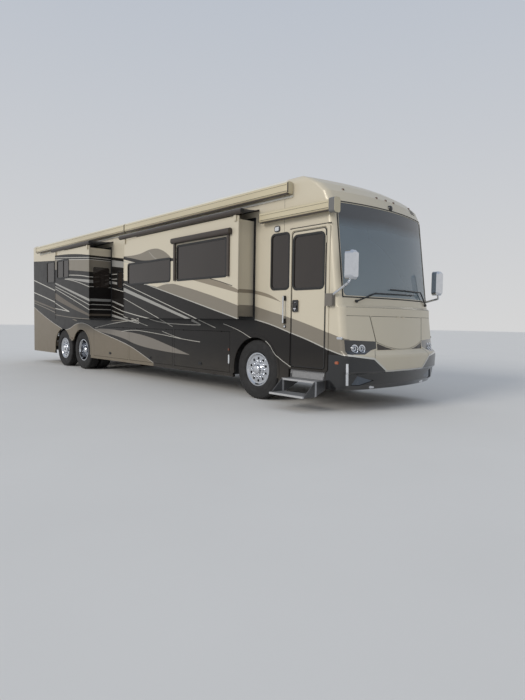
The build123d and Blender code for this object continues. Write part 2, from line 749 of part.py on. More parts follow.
def steer_rim(x, y, side):
    """Convex disc wheel with its hub, used on the front and tag axles."""
    h = rim_w / 2
    rim = lathe(x, y, side, [(-h, rim_r), (-h, rim_r - 28), (-h + 30, rim_r - 42), (50, rim_r - 42), (disc_in, disc_r),
                             (disc_in, hub_r + 8), (-40, hub_r + 8), (-40, bore), (spindle_out + cap_clear, bore),
                             (spindle_out + cap_clear, 0), (hub_end + hub_cap_out, 0),
                             (hub_end + hub_cap_out - 4, hub_cap_r - 22), (hub_end + 12, hub_cap_r), (hub_end, hub_cap_r),
                             (hub_end, hub_r), (disc_out, hub_r), (disc_out, disc_r), (h - 22, rim_r - 45),
                             (h, rim_r - 22), (h, rim_r)])
    for i in range(hand_holes):
        a = math.radians(i * 360 / hand_holes)
        rim -= side_rod(x + hand_hole_ring * math.sin(a), tyre_r + hand_hole_ring * math.cos(a), hand_hole_r,
                        y + side * (disc_in - 20), y + side * (disc_out + 20))
    return rim


def dual_rims(x, y, side):
    """Twin dished wheels, disc to disc on one hub. y is the outer wheel's centre."""
    h = rim_w / 2
    g = dual_gap
    mid = -g / 2
    rim = lathe(x, y, side, [(h, rim_r), (h, rim_r - 24), (h - 40, rim_r - 40), (mid + 60, rim_r - 40), (mid + 12, 235),
                             (mid + 12, hub_r + 60), (mid + 60, hub_r), (40, hub_r), (66, hub_r - 14),
                             (dual_spindle_out + 18, hub_cap_r - 22), (dual_spindle_out + 20, 0),
                             (dual_spindle_out + cap_clear, 0), (dual_spindle_out + cap_clear, bore),
                             (-g - 60, bore), (-g - 60, hub_r + 20), (mid - 12, hub_r + 60), (mid - 12, 235),
                             (mid - 60, rim_r - 40), (-g - h + 40, rim_r - 40), (-g - h, rim_r - 24),
                             (-g - h, rim_r), (-g + h, rim_r), (-g + h, rim_r - 20), (-h, rim_r - 20), (-h, rim_r)])
    for i in range(hand_holes):
        a = math.radians(i * 360 / hand_holes)
        rim -= side_rod(x + hand_hole_ring * math.sin(a), tyre_r + hand_hole_ring * math.cos(a), hand_hole_r,
                        y - side * (g / 2 - 40), y - side * (g / 2 + 40))
    return rim


for side, word in ((-1, "right"), (1, "left")):
    y = side * wheel_y
    for name, x in (("front", front_axle_x), ("tag", tag_x)):
        save(name + "_rim_" + word, steer_rim(x, y, side))
        save(name + "_tyre_" + word, tyre(x, y, side))
    save("drive_rims_" + word, dual_rims(drive_x, y, side))
    save("drive_tyres_" + word, Compound([tyre(drive_x, y, side), tyre(drive_x, y - side * dual_gap, side)]))

# Slide-out rooms with their windows and topper rollers
# room, rear station, front station, low z, top z, corner radius
SLIDE_WINDOWS = [
    ("front_slide", -3865, -2130, 2160, 2635, 60),
    ("front_slide", -1900, -345, 2160, 2850, 40),
    ("rear_slide", -7400, -6620, 2460, 2950, 60),
    ("left_slide", -7050, -5650, 2160, 2850, 60),
    ("left_slide", -4500, -3100, 2160, 2850, 60),
    ("left_slide", -2750, -2050, 2160, 2850, 60),
]
end_window = (1332, 1754, 2176, 2670)
topper_y_gap = 12


def slide_room(row):
    """Room box, open to the cabin, with its outer flange plate and its floor runners."""
    name, side, s0, s1, z0, z1, reach = row
    y_out = side * (half_width + reach)
    y_plate = side * (half_width + reach - slide_flange_t)
    y_in = side * (inner_half - slide_inner_lap)
    x0, x1 = station(s0), station(s1)
    lap, t = slide_flange_lap, slide_wall_t
    room = block(x0, x1, y_out, y_plate, z0, z1)
    room += block(x0 + lap, x1 - lap, y_plate, y_in, z0 + lap, z1 - lap)
    room -= block(x0 + lap + t, x1 - lap - t, y_plate - side * t, y_in - side * 5, z0 + lap + t, z1 - lap - t)
    for s in (s0 + 400, s1 - 400 - 80):
        room += block(station(s), station(s) + 80, side * (inner_half - 5), side * slide_runner_y, floor_z + seat_gap, z0 + lap + 10)
        room += block(station(s) + 100, station(s) + 180, y_plate, y_in, z0 + lap - slide_clear + seat_gap, z0 + lap + 10)
    for who, w0, w1, v0, v1, r in SLIDE_WINDOWS:
        if who == name:
            room -= prism_y(rounded(station(w0), station(w1), v0, v1, r), min(y_out, y_plate) - 60, max(y_out, y_plate) + 60)
    if name == "rear_slide":
        a0, a1, b0, b1 = end_window
        room -= prism_x(rounded(-a1, -a0, b0, b1, 40), x1 - lap - t - 20, x1 + 20)
    return room


def slide_glass(row):
    name, side, s0, s1, z0, z1, reach = row
    shift = Pos(0, side * reach, 0)
    glass = [shift * window_pane(side, w0, w1, v0, v1, r).solid()
             for who, w0, w1, v0, v1, r in SLIDE_WINDOWS if who == name]
    if name == "rear_slide":
        a0, a1, b0, b1 = end_window
        x1 = station(s1) - slide_flange_lap
        face = rounded(-a1, -a0, b0, b1, 40)
        glass.append(prism_x(face, x1 - window_t, x1 + 5).solid())
    return Compound(glass)


def topper(row):
    """Topper roller along the room's top edge, on an end bracket at each end."""
    name, side, s0, s1, z0, z1, reach = row
    y = side * (half_width + reach + topper_r - 20)
    z = z1 + topper_r + 12
    x0, x1 = station(s0) - topper_lap, station(s1) + topper_lap
    roller = Pos((x0 + x1) / 2, y, z) * Rot(0, 90, 0) * Cylinder(topper_r, x1 - x0)
    for x in (station(s0) + 40, station(s1) - 100):
        roller += block(x, x + 60, side * (half_width + reach), side * (half_width + reach + 30), z1 - 90, z)
    if name == "front_slide":
        roller = Compound([roller.solid(), window_awning(row).solid()])
    return roller


# Window awning: rounded case over the front room's big window, and an arm down each side of it
case_rear_s, case_front_s = -2005, -200
case_low_z, case_top_z = 2882, 2992
case_out, case_r = 90, 44
ARMS = [-1985, -315]
arm_w, arm_out, arm_r = 60, 40, 16
arm_low_z = 2165


def window_awning(row):
    side, reach = row[1], row[6]
    y = side * (half_width + reach)
    case = rounded(-case_out / 2, case_out / 2, case_low_z, case_top_z, case_r)
    box = prism_x(Pos(y + side * case_out / 2, 0) * case, station(case_rear_s), station(case_front_s))
    box += block(station(case_rear_s), station(case_front_s), y, y + side * 20, case_low_z, case_top_z - 10)
    for s in ARMS:
        arm = block(station(s), station(s) + arm_w, y, y + side * arm_out, arm_low_z, case_low_z + 20)
        box += fillet(arm.edges().filter_by(Axis.Z).group_by(Axis.Y)[0 if side < 0 else -1], arm_r)
    return box


for row in SLIDES:
    save(row[0], slide_room(row))
    save(row[0] + "_windows", slide_glass(row))
    save(row[0] + "_topper", topper(row))

# Main roof-edge awnings, their drip rail, and the door awning. Columns: rear s, front s, low z, top z
AWNINGS = [(-10250, -4535, 3456, 3638), (-4505, 873, 3456, 3638), (205, 1745, 3060, 3222)]
awning_out = 131
parts_awning = []
for s0, s1, z0, z1 in AWNINGS:
    face = rounded(-half_width - awning_out, -half_width, z0, z1, 38)
    parts_awning.append(prism_x(face, station(s0), station(s1)).solid())
face = rounded(-half_width - awning_out - 6, -half_width, 3015, 3240, 38)
parts_awning[2] = (parts_awning[2] + prism_x(face, station(1745), station(1858))).solid()
parts_awning.append(block(station(-10250), station(880), -half_width - 20, -half_width, 3404, 3432))
save("awnings", Compound(parts_awning))

# Mirrors: bracket box, arm and head on each side
mirror_y = 1250
mirror_s = 2075
mirror_z = (2235, 2110)
mirrors = []
for side, z in zip((-1, 1), mirror_z):
    x = station(mirror_s)
    y = side * mirror_y
    rest_z = 1765
    m = block(station(1650), station(1790), side * half_width, side * (half_width + 72), 1634, 1820)
    m += rod((station(1720), side * (half_width + 40), rest_z), (x - 20, side * (half_width + 30), z - 270), 19)
    m += rod((x - 20, side * (half_width + 30), z - 270), (x, y, z - 150), 17)
    head = prism_x(rounded(y - 105, y + 105, z - 215, z + 215, 60), x - 65, x + 60)
    m += chamfer(head.edges().group_by(Axis.X)[-1], 35)
    mirrors.append(m.solid())
save("mirrors", Compound(mirrors))

# Wipers parked along the foot of the windscreen. Columns: pivot y, z, elbow y, z, blade y0, z0, y1, z1
WIPERS = [(-975, 1712, -582, 1848, -582, 1848, 540, 1862), (1085, 1712, 835, 1930, 835, 1930, -193, 1925)]
wipers = []
for py, pz, ey, ez, y0, z0, y1, z1 in WIPERS:
    w = rod((nose_x(py, pz) - 20, py, pz), (nose_x(py, pz) + 32, py, pz), 22)
    w += rod((nose_x(py, pz) + 25, py, pz), (nose_x(ey, ez) + 32, ey, ez), 11)
    w += rod((nose_x(ey, ez) + 30, ey, ez), (nose_x((y0 + y1) / 2, (z0 + z1) / 2) + 24, (y0 + y1) / 2, (z0 + z1) / 2), 10)
    w += rod((nose_x((y0 + y1) / 2, (z0 + z1) / 2) + 24, (y0 + y1) / 2, (z0 + z1) / 2), (nose_x(y1, z1) + 22, y1, z1), 10)
    w -= nose_outer
    wipers.append(w.solid())
save("wipers", Compound(wipers))

# Roof units: three air conditioners and three vents. Columns: station of the centre, half length, half width, height
AIR = [(-900, 480, 340), (-4700, 480, 340), (-8700, 480, 340)]
air_h = 168
units = []
for s, half_l, half_w in AIR:
    unit = loft([Pos(station(s), 0, roof_top_z) * Rectangle(2 * half_l, 2 * half_w),
                 Pos(station(s), 0, roof_top_z + air_h) * Rectangle(2 * half_l - 160, 2 * half_w - 120)])
    units.append(fillet(unit.edges().filter_by(Axis.Z, reverse=True).group_by(Axis.Z)[-1], 40).solid())
VENTS = [-2600, -6500, -9900]
vent_half = 220
for s in VENTS:
    vent = block(station(s) - vent_half, station(s) + vent_half, -vent_half, vent_half, roof_top_z, roof_top_z + 95)
    units.append(fillet(vent.edges().group_by(Axis.Z)[-1], 45).solid())
save("roof_units", Compound(units))

# Entry step: two treads on side plates, running in under the stairwell
step_s0, step_s1 = 860, 1585
step = block(station(step_s0), station(step_s1), -half_width - 175, -half_width + 60, 440, 470)
step += block(station(step_s0), station(step_s1), -half_width - 460, -half_width - 160, 232, 262)
plate = outline([(-half_width - 440, 232), (-half_width - 160, 232), (-half_width + 330, 440),
                 (-half_width + 330, door_low_z - stair_t - seat_gap), (-half_width + 40, door_low_z - stair_t - seat_gap),
                 (-half_width + 20, 470), (-half_width - 175, 470)])
for x in (station(step_s0), station(step_s1) - 20):
    step += prism_x(plate, x, x + 20)
riser_y = -half_width + 44
riser_t = 8
step += block(station(step_s0), station(step_s1), riser_y, riser_y + riser_t, 440, door_low_z - stair_t - seat_gap)
save("entry_step", step)
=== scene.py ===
"""Looks of the motorhome: paint, glass, tyres, trim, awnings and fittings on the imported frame.

Metres. +X is forward, +Y is the driver's (left) side, +Z is up. Stations named s are counted
from the front axle, + forward, so X = front_axle + s.
"""
import json
import math
import bmesh
import bpy
from mathutils import Matrix, Vector
from mathutils.bvhtree import BVHTree


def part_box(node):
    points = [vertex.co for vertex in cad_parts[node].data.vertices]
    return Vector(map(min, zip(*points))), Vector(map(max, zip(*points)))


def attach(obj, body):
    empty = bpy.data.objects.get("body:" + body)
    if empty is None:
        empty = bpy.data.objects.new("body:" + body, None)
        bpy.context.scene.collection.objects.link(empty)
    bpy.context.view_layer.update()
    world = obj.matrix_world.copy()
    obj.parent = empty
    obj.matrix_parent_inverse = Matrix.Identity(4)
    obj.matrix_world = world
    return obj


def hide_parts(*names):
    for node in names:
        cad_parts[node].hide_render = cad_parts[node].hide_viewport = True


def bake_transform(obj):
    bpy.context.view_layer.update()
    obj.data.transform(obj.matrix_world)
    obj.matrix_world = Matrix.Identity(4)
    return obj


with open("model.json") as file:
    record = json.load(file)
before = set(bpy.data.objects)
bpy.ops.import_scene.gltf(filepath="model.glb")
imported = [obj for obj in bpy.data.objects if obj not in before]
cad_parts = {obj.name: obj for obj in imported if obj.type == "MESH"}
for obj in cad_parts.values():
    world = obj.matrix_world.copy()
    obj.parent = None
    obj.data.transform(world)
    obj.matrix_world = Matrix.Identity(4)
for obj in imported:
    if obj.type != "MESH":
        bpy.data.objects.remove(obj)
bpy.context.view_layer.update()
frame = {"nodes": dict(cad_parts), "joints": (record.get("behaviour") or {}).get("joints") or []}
scene = bpy.context.scene
joints = {joint["name"]: joint for joint in frame["joints"]}

front_axle = joints["steer_left"]["pos_m"][0]
drive_axle = joints["drive_wheels_spin_left"]["pos_m"][0]
tag_axle = joints["tag_wheel_spin_left"]["pos_m"][0]
axle_z = joints["steer_left"]["pos_m"][2]
half_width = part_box("wall_left")[1][1]
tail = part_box("rear_cap")[0][0]
SIDES = (("right", -1), ("left", 1))
SLIDES = (("front_slide", -1), ("rear_slide", -1), ("left_slide", 1))
# Lower edge of each slide-out room's flange
ROOM_LOW = {"front_slide": 1.423, "rear_slide": 1.380, "left_slide": 1.400}


def station(s):
    return front_axle + s


def srgb(red, green, blue):
    """Linear colour of an 8-bit screen colour."""
    linear = [v / 255 / 12.92 if v <= 10 else ((v / 255 + 0.055) / 1.055) ** 2.4 for v in (red, green, blue)]
    return (*linear, 1.0)


CREAM = srgb(204, 195, 175)
TAUPE = srgb(132, 125, 113)
TAN = srgb(142, 132, 116)
BROWN = srgb(96, 88, 78)
DARK = srgb(29, 26, 24)
SILVER = srgb(156, 154, 149)
SWEEP = srgb(126, 120, 112)
PALE = srgb(182, 179, 171)
CHAMPAGNE = srgb(118, 108, 92)


class Nodes:
    """Short calls for building one material's nodes."""

    def __init__(self, name, **sockets):
        self.material = bpy.data.materials.new(name)
        self.material.use_nodes = True
        self.tree = self.material.node_tree
        self.shader = self.tree.nodes["Principled BSDF"]
        self.where = self.add("ShaderNodeTexCoord").outputs["Object"]
        for socket, value in sockets.items():
            self.shader.inputs[socket.replace("_", " ")].default_value = value

    def add(self, kind, **settings):
        node = self.tree.nodes.new(kind)
        for key, value in settings.items():
            setattr(node, key, value)
        return node

    def plug(self, value, socket):
        if isinstance(value, bpy.types.NodeSocket):
            self.tree.links.new(value, socket)
        else:
            socket.default_value = value

    def math(self, operation, *values):
        node = self.add("ShaderNodeMath", operation=operation)
        for value, socket in zip(values, node.inputs):
            self.plug(value, socket)
        return node.outputs[0]

    def above(self, value, limit):
        return self.math("GREATER_THAN", value, limit)

    def below(self, value, limit):
        return self.math("LESS_THAN", value, limit)

    def near(self, value, middle, half):
        return self.below(self.math("ABSOLUTE", self.math("SUBTRACT", value, middle)), half)

    def every(self, *masks):
        """1 where every mask is 1."""
        product = masks[0]
        for mask in masks[1:]:
            product = self.math("MULTIPLY", product, mask)
        return product

    def within(self, value, low, high):
        return self.every(self.above(value, low), self.below(value, high))

    def mix(self, factor, first, second):
        node = self.add("ShaderNodeMix", data_type="RGBA")
        self.plug(factor, node.inputs[0])
        self.plug(first, node.inputs[6])
        self.plug(second, node.inputs[7])
        return node.outputs[2]

    def span(self, value, low, high, to_low=0.0, to_high=1.0):
        node = self.add("ShaderNodeMapRange")
        for number, socket in zip((value, low, high, to_low, to_high), node.inputs):
            self.plug(number, socket)
        return node.outputs[0]

    def xyz(self):
        split = self.add("ShaderNodeSeparateXYZ")
        self.plug(self.where, split.inputs[0])
        return split.outputs

    def noise(self, scale, detail=3.0, stretch=(1, 1, 1)):
        mapping = self.add("ShaderNodeMapping")
        self.plug(self.where, mapping.inputs["Vector"])
        mapping.inputs["Scale"].default_value = stretch
        node = self.add("ShaderNodeTexNoise")
        self.plug(mapping.outputs[0], node.inputs["Vector"])
        node.inputs["Scale"].default_value = scale
        node.inputs["Detail"].default_value = detail
        return node.outputs["Fac"]

    def bump(self, height, strength, distance=0.002):
        node = self.add("ShaderNodeBump")
        node.inputs["Strength"].default_value = strength
        node.inputs["Distance"].default_value = distance
        self.plug(height, node.inputs["Height"])
        self.plug(node.outputs[0], self.shader.inputs["Normal"])

    def colour(self, value):
        self.plug(value, self.shader.inputs["Base Color"])

    def rough(self, value):
        self.plug(value, self.shader.inputs["Roughness"])


def finish(name, colour, rough, vary=0.15, scale=6.0, grain=0.0, grain_scale=300.0, stretch=(1, 1, 1),
           **sockets):
    """Material with cloudy colour and gloss, and a fine grain in its relief."""
    n = Nodes(name, **sockets)
    cloud = n.noise(scale, 4.0)
    darker = tuple(c * (1 - vary) for c in colour[:3]) + (1.0,)
    n.colour(n.mix(cloud, darker, colour))
    n.rough(n.span(cloud, 0.3, 0.7, rough * 0.85, min(1.0, rough * 1.15)))
    if grain:
        n.bump(n.noise(grain_scale, 2.0, stretch), grain)
    return n.material


# Painted graphics. A row is a colour, the stripe's upper line and its lower line, each as points (s, z).
# A pinstripe has one line and its width instead of the lower line. None fills all below the upper line.
BELT = [(-0.05, 1.423), (0.38, 1.336), (0.85, 1.209), (1.22, 1.109), (1.81, 0.93), (2.1, 0.872)]
REAR_SWEEP = [(-10.95, 1.80), (-9.73, 1.406), (-9.31, 1.287), (-8.85, 1.171), (-8.4, 1.06)]
ARCH_SWEEP = [(-8.4, 1.06), (-7.97, 1.12), (-7.6, 1.235), (-7.25, 1.28), (-6.8, 1.235), (-6.35, 1.11),
              (-5.587, 0.967), (-4.879, 0.839), (-4.383, 0.73), (-3.7, 0.52), (-3.4, 0.42)]
ARCH_LINE_FRONT = [(0.275, 1.047), (0.391, 0.965), (0.496, 0.845), (0.6, 0.778), (0.729, 0.712),
                   (0.898, 0.643)]
ARCH_LINE_REAR = [(-0.9, 1.33), (-0.398, 1.199), (-0.187, 1.117), (-0.001, 1.055)]
BODY_ROWS = [
    (DARK, [(-10.95, 3.25), (-9.65, 3.17), (-7.5, 3.06), (-5.39, 2.94), (-4.78, 2.864), (-4.05, 2.79)], None),
    (DARK, [(-4.05, 2.25), (-3.1, 2.15), (-0.05, 1.423)], None),
    (DARK, BELT, None),
    (TAUPE, [(-0.05, 1.66), (0.374, 1.559), (0.915, 1.435), (1.593, 1.248), (1.81, 1.186), (2.1, 1.1)], BELT),
    (TAN, [(-0.05, 1.93), (0.242, 1.875), (0.4, 1.825), (0.63, 1.715)],
     [(-0.05, 1.872), (0.243, 1.815), (0.63, 1.712)]),
    (PALE, BELT, 0.018),
    (PALE, ARCH_LINE_REAR, 0.012),
    (PALE, ARCH_LINE_FRONT, 0.014),
    (SILVER, [(-5.42, 2.875), (-4.05, 2.694)], [(-5.42, 2.718), (-4.05, 2.548)]),
    (PALE, [(-5.42, 2.517), (-4.05, 2.476)], 0.018),
    (PALE, [(-5.42, 2.394), (-4.05, 2.36)], 0.018),
    (SILVER, [(-5.42, 2.348), (-4.05, 2.155)], [(-5.42, 2.288), (-4.05, 2.1)]),
    (PALE, [(-5.42, 2.176), (-4.05, 1.934)], 0.02),
    (SILVER, [(-5.42, 1.876), (-4.05, 1.568)], [(-5.42, 1.838), (-4.05, 1.53)]),
    (PALE, [(-5.42, 1.732), (-4.05, 1.4)], 0.02),
    (PALE, [(-5.42, 1.615), (-4.05, 1.354)], 0.018),
    (SILVER, [(-5.42, 1.528), (-4.05, 1.305)], [(-5.42, 1.461), (-4.05, 1.29)]),
    (TAUPE, [(-5.42, 1.361), (-4.4, 1.365)], 0.012),
    (PALE, [(-6.35, 1.159), (-4.78, 1.341), (-4.2, 1.37)], 0.014),
    (PALE, [(-1.736, 1.413), (-1.142, 1.25)], 0.014),
    (SILVER, [(-1.949, 1.43), (-1.614, 1.311)], [(-1.949, 1.37), (-1.614, 1.3)]),
    (PALE, [(-3.716, 1.433), (-3.107, 1.342), (-2.4, 1.306), (-1.63, 1.3)], 0.016),
    (PALE, [(-3.229, 1.434), (-2.635, 1.25)], 0.014),
    (PALE, [(-4.4, 1.39), (-3.656, 1.25)], 0.014),
    (SWEEP, [(-6.45, 1.128), (-5.698, 1.144), (-4.778, 1.105), (-4.225, 1.069), (-3.617, 1.001),
             (-2.781, 0.845), (-2.0, 0.684)],
     [(-6.45, 1.08), (-5.698, 1.033), (-4.778, 0.925), (-4.224, 0.816), (-3.2, 0.72), (-2.0, 0.68)]),
    (PALE, [(-4.9, 1.1), (-4.225, 1.14), (-3.765, 1.119), (-3.052, 1.069), (-2.323, 1.004),
            (-1.64, 0.959)], 0.012),
    (PALE, [(-3.052, 1.143), (-2.524, 1.04), (-2.298, 1.005)], 0.01),
    (CHAMPAGNE, REAR_SWEEP, None),
    (CHAMPAGNE, ARCH_SWEEP, None),
    (PALE, REAR_SWEEP, 0.014),
    (PALE, ARCH_SWEEP, 0.014),
    (PALE, [(-10.95, 2.66), (-9.714, 2.388), (-9.162, 2.262), (-7.5, 1.812)], 0.03),
    (PALE, [(-10.95, 2.26), (-9.65, 2.012), (-9.123, 1.904), (-7.5, 1.66)], 0.03),
    (BROWN, [(-10.95, 2.02), (-9.654, 1.8), (-9.171, 1.715), (-7.5, 1.42)],
     [(-10.95, 1.96), (-9.171, 1.68), (-7.5, 1.4)]),
    (TAUPE, [(-10.95, 1.92), (-9.656, 1.692), (-9.173, 1.6), (-7.5, 1.34)], 0.02),
    (SILVER, [(-9.05, 2.74), (-7.5, 2.372)], [(-9.05, 2.7), (-7.5, 2.332)]),
    (PALE, [(-9.05, 2.62), (-7.5, 2.256)], 0.018),
    (PALE, [(-9.05, 2.56), (-7.5, 2.196)], 0.018),
]
FRONT_SLIDE_ROWS = [
    (DARK, [(-4.06, 2.27), (-3.1, 2.152), (-0.02, 1.423)], None),
    (TAUPE, [(-2.7, 2.056), (-2.114, 2.114), (-1.686, 2.044), (-1.123, 1.926), (-0.02, 1.652)],
     [(-2.7, 2.056), (-0.02, 1.423)]),
    (TAN, [(-1.4, 2.165), (-0.857, 2.149), (-0.02, 1.923)], [(-1.4, 2.16), (-0.02, 1.866)]),
    (TAUPE, [(-4.06, 2.82), (-3.4, 2.81), (-2.8, 2.872), (-2.5, 2.83), (-2.18, 2.68), (-2.08, 2.6)],
     [(-4.06, 2.79), (-3.19, 2.63), (-2.08, 2.598)]),
    (DARK, [(-4.06, 2.81), (-3.685, 2.745), (-3.188, 2.66), (-2.14, 2.63), (-1.9, 2.59)],
     [(-4.06, 2.75), (-3.188, 2.6), (-1.9, 2.565)]),
    (PALE, [(-4.06, 2.697), (-3.6, 2.647)], 0.02),
    (PALE, [(-2.96, 2.83), (-2.798, 2.714), (-2.647, 2.642)], 0.01),
    (PALE, [(-3.16, 2.143), (-2.618, 2.161), (-2.161, 2.114)], 0.014),
    (PALE, [(-3.1, 2.152), (-0.02, 1.423)], 0.018),
    (DARK, [(-0.839, 2.155), (-0.483, 2.074), (-0.179, 1.993)], 0.012),
    (PALE, [(-4.06, 2.2), (-0.643, 1.257)], 0.016),
    (SILVER, [(-4.06, 2.114), (-1.086, 1.332)], [(-4.06, 2.028), (-1.086, 1.29)]),
    (PALE, [(-4.06, 1.571), (-3.057, 1.429), (-2.0, 1.314)], 0.018),
    (PALE, [(-4.06, 1.871), (-2.486, 1.4)], 0.014),
    (PALE, [(-4.06, 1.457), (-3.0, 1.257)], 0.014),
]
REAR_SLIDE_ROWS = [
    (DARK, [(-7.54, 3.105), (-6.367, 3.048), (-5.4, 2.945)], None),
    (TAUPE, [(-7.54, 2.985), (-6.512, 2.92), (-5.4, 2.84)], [(-7.54, 2.72), (-6.661, 2.656), (-5.4, 2.54)]),
    (PALE, [(-7.54, 3.045), (-5.4, 2.888)], 0.018),
    (PALE, [(-7.54, 2.998), (-6.512, 2.92), (-5.4, 2.84)], 0.016),
    (PALE, [(-6.885, 2.535), (-5.99, 2.484), (-5.4, 2.415)], 0.02),
    (SILVER, [(-6.95, 2.472), (-5.4, 2.346)], [(-6.95, 2.462), (-5.4, 2.268)]),
    (PALE, [(-6.887, 2.437), (-6.339, 2.365), (-5.4, 2.174)], 0.018),
    (SILVER, [(-7.54, 2.374), (-6.521, 2.136), (-5.4, 1.881)],
     [(-7.54, 2.334), (-6.521, 2.085), (-5.4, 1.818)]),
    (PALE, [(-7.54, 2.265), (-6.521, 2.018), (-5.4, 1.734)], 0.018),
    (PALE, [(-7.54, 2.204), (-6.521, 1.929), (-5.4, 1.615)], 0.018),
    (BROWN, [(-7.54, 2.095), (-6.521, 1.795), (-5.4, 1.509)],
     [(-7.54, 1.923), (-6.521, 1.676), (-5.4, 1.462)]),
    (PALE, [(-7.54, 1.818), (-6.897, 1.649), (-6.6, 1.579)], 0.022),
    (PALE, [(-7.54, 1.668), (-7.204, 1.637), (-6.6, 1.579)], 0.022),
    (TAUPE, [(-7.54, 1.498), (-6.529, 1.43), (-5.4, 1.39)], 0.014),
]
# Tail, as points (distance from the middle, z)
TAIL_TOP = [(-0.01, 2.9), (0.5, 2.96), (0.95, 3.1), (1.3, 3.25)]
TAIL_SWEEP = [(-0.01, 1.62), (0.6, 1.6), (1.0, 1.68), (1.3, 1.805)]
TAIL_ROWS = [
    (DARK, TAIL_TOP, None),
    (CHAMPAGNE, TAIL_SWEEP, None),
    (PALE, TAIL_SWEEP, 0.014),
    (SILVER, [(0.1, 2.5), (0.6, 2.52), (1.3, 2.72)], [(0.1, 2.5), (0.6, 2.46), (1.3, 2.63)]),
    (PALE, [(-0.01, 2.32), (0.6, 2.34), (1.3, 2.5)], 0.018),
    (PALE, [(-0.01, 2.1), (0.6, 2.12), (1.3, 2.262)], 0.03),
    (BROWN, [(0.2, 1.84), (0.7, 1.86), (1.3, 2.022)], [(0.2, 1.84), (0.7, 1.82), (1.3, 1.96)]),
    (TAUPE, [(-0.01, 1.75), (0.7, 1.76), (1.3, 1.922)], 0.02),
    (PALE, TAIL_TOP, 0.02),
]
# A node's curve runs from 0 to 1, so heights are divided by this on their way through it
graph_height = 4.0
# How far in the paint of the sides and of the tail reaches, and where the dark inner skins lie
side_paint_depth = 0.11
tail_paint_depth = 0.06
skin_depth = 0.035
dark_inside_top = 1.3
dark_inside_front = 1.75
# Stations between which the front room's stripes run on over the wall ahead of the left room
AHEAD_OF_LEFT_ROOM = (-1.76, -0.04)


def line_height(n, s, points):
    """Height at station s of a line through points (s, z): straight for two points, smooth for more."""
    (s0, z0), (s1, z1) = points[0], points[-1]
    if len(points) == 2:
        slope = (z1 - z0) / (s1 - s0)
        return n.math("MULTIPLY_ADD", s, slope, z0 - slope * s0)
    node = n.add("ShaderNodeFloatCurve")
    n.plug(n.math("MULTIPLY_ADD", s, 1 / (s1 - s0), -s0 / (s1 - s0)), node.inputs["Value"])
    curve = node.mapping.curves[0]
    curve.points[0].location = (0.0, z0 / graph_height)
    curve.points[1].location = (1.0, z1 / graph_height)
    for ps, pz in points[1:-1]:
        curve.points.new((ps - s0) / (s1 - s0), pz / graph_height)
    node.mapping.update()
    return n.math("MULTIPLY", node.outputs[0], graph_height)


def stripe(n, s, z, upper, lower):
    """1 on a stripe and 0 off it."""
    ends = n.math("MINIMUM", n.math("SUBTRACT", s, upper[0][0]), n.math("SUBTRACT", upper[-1][0], s))
    inside = n.math("SUBTRACT", line_height(n, s, upper), z)
    if isinstance(lower, float):
        inside = n.math("SUBTRACT", lower / 2, n.math("ABSOLUTE", inside))
    elif lower is not None:
        inside = n.math("MINIMUM", inside, n.math("SUBTRACT", z, line_height(n, s, lower)))
    return n.above(n.math("MINIMUM", inside, ends), 0.0)


def graphics(n, rows, along, z, only=None):
    """Colour of a painted side, all rows laid over cream. only is a mask that the rows keep to."""
    colour = CREAM
    for tint, upper, lower in rows:
        mask = stripe(n, along, z, upper, lower)
        if only is not None:
            mask = n.every(mask, only)
        colour = n.mix(mask, colour, tint)
    return colour


def paint(name, rows_by_part, body=False):
    """Pearl paint under clear lacquer with its graphics, road film low down and a soft orange peel.

    The body's own rows keep to its sides, and its tail has rows that run out from the middle. Ahead of
    the left room the front room's rows run on, and the skins inside, below the floor, are dark.
    """
    n = Nodes(name, Metallic=0.1, Coat_Weight=0.16, Coat_Roughness=0.08, Coat_IOR=1.4,
              Specular_IOR_Level=0.28)
    x, y, z = n.xyz()
    s = n.math("SUBTRACT", x, front_axle)
    out = n.math("ABSOLUTE", y)
    sides = n.above(out, half_width - side_paint_depth) if body else None
    colour = graphics(n, rows_by_part[0], s, z, sides)
    for border, rows in rows_by_part[1:]:
        colour = n.mix(n.below(s, border), colour, graphics(n, rows, s, z))
    if body:
        wall_ahead = n.every(n.above(y, 0.0), n.above(z, ROOM_LOW["front_slide"]),
                             n.within(s, *AHEAD_OF_LEFT_ROOM), sides)
        colour = n.mix(wall_ahead, colour, graphics(n, FRONT_SLIDE_ROWS, s, z))
        tail_paint = tail + tail_paint_depth
        colour = n.mix(n.below(x, tail_paint), colour, graphics(n, TAIL_ROWS, out, z))
        inner = n.every(n.below(out, half_width - skin_depth), n.below(z, dark_inside_top),
                        n.below(s, dark_inside_front), n.above(x, tail_paint))
        colour = n.mix(inner, colour, srgb(40, 39, 38))
    film = n.math("MULTIPLY", n.span(z, 0.95, 0.3, 0.0, 0.3), n.noise(3.0, 5.0))
    n.colour(n.mix(film, colour, srgb(112, 104, 92)))
    n.rough(n.math("ADD", n.span(n.noise(5.0, 4.0), 0.3, 0.7, 0.3, 0.38), n.math("MULTIPLY", film, 0.6)))
    n.bump(n.noise(180.0, 1.0), 0.03, 0.001)
    return n.material


def lens(name, colour, rough, vary, scale, coat):
    """Lamp lens: fine relief under a clear coat."""
    return finish(name, colour, rough, vary, scale, grain=0.3, grain_scale=260, Coat_Weight=coat)


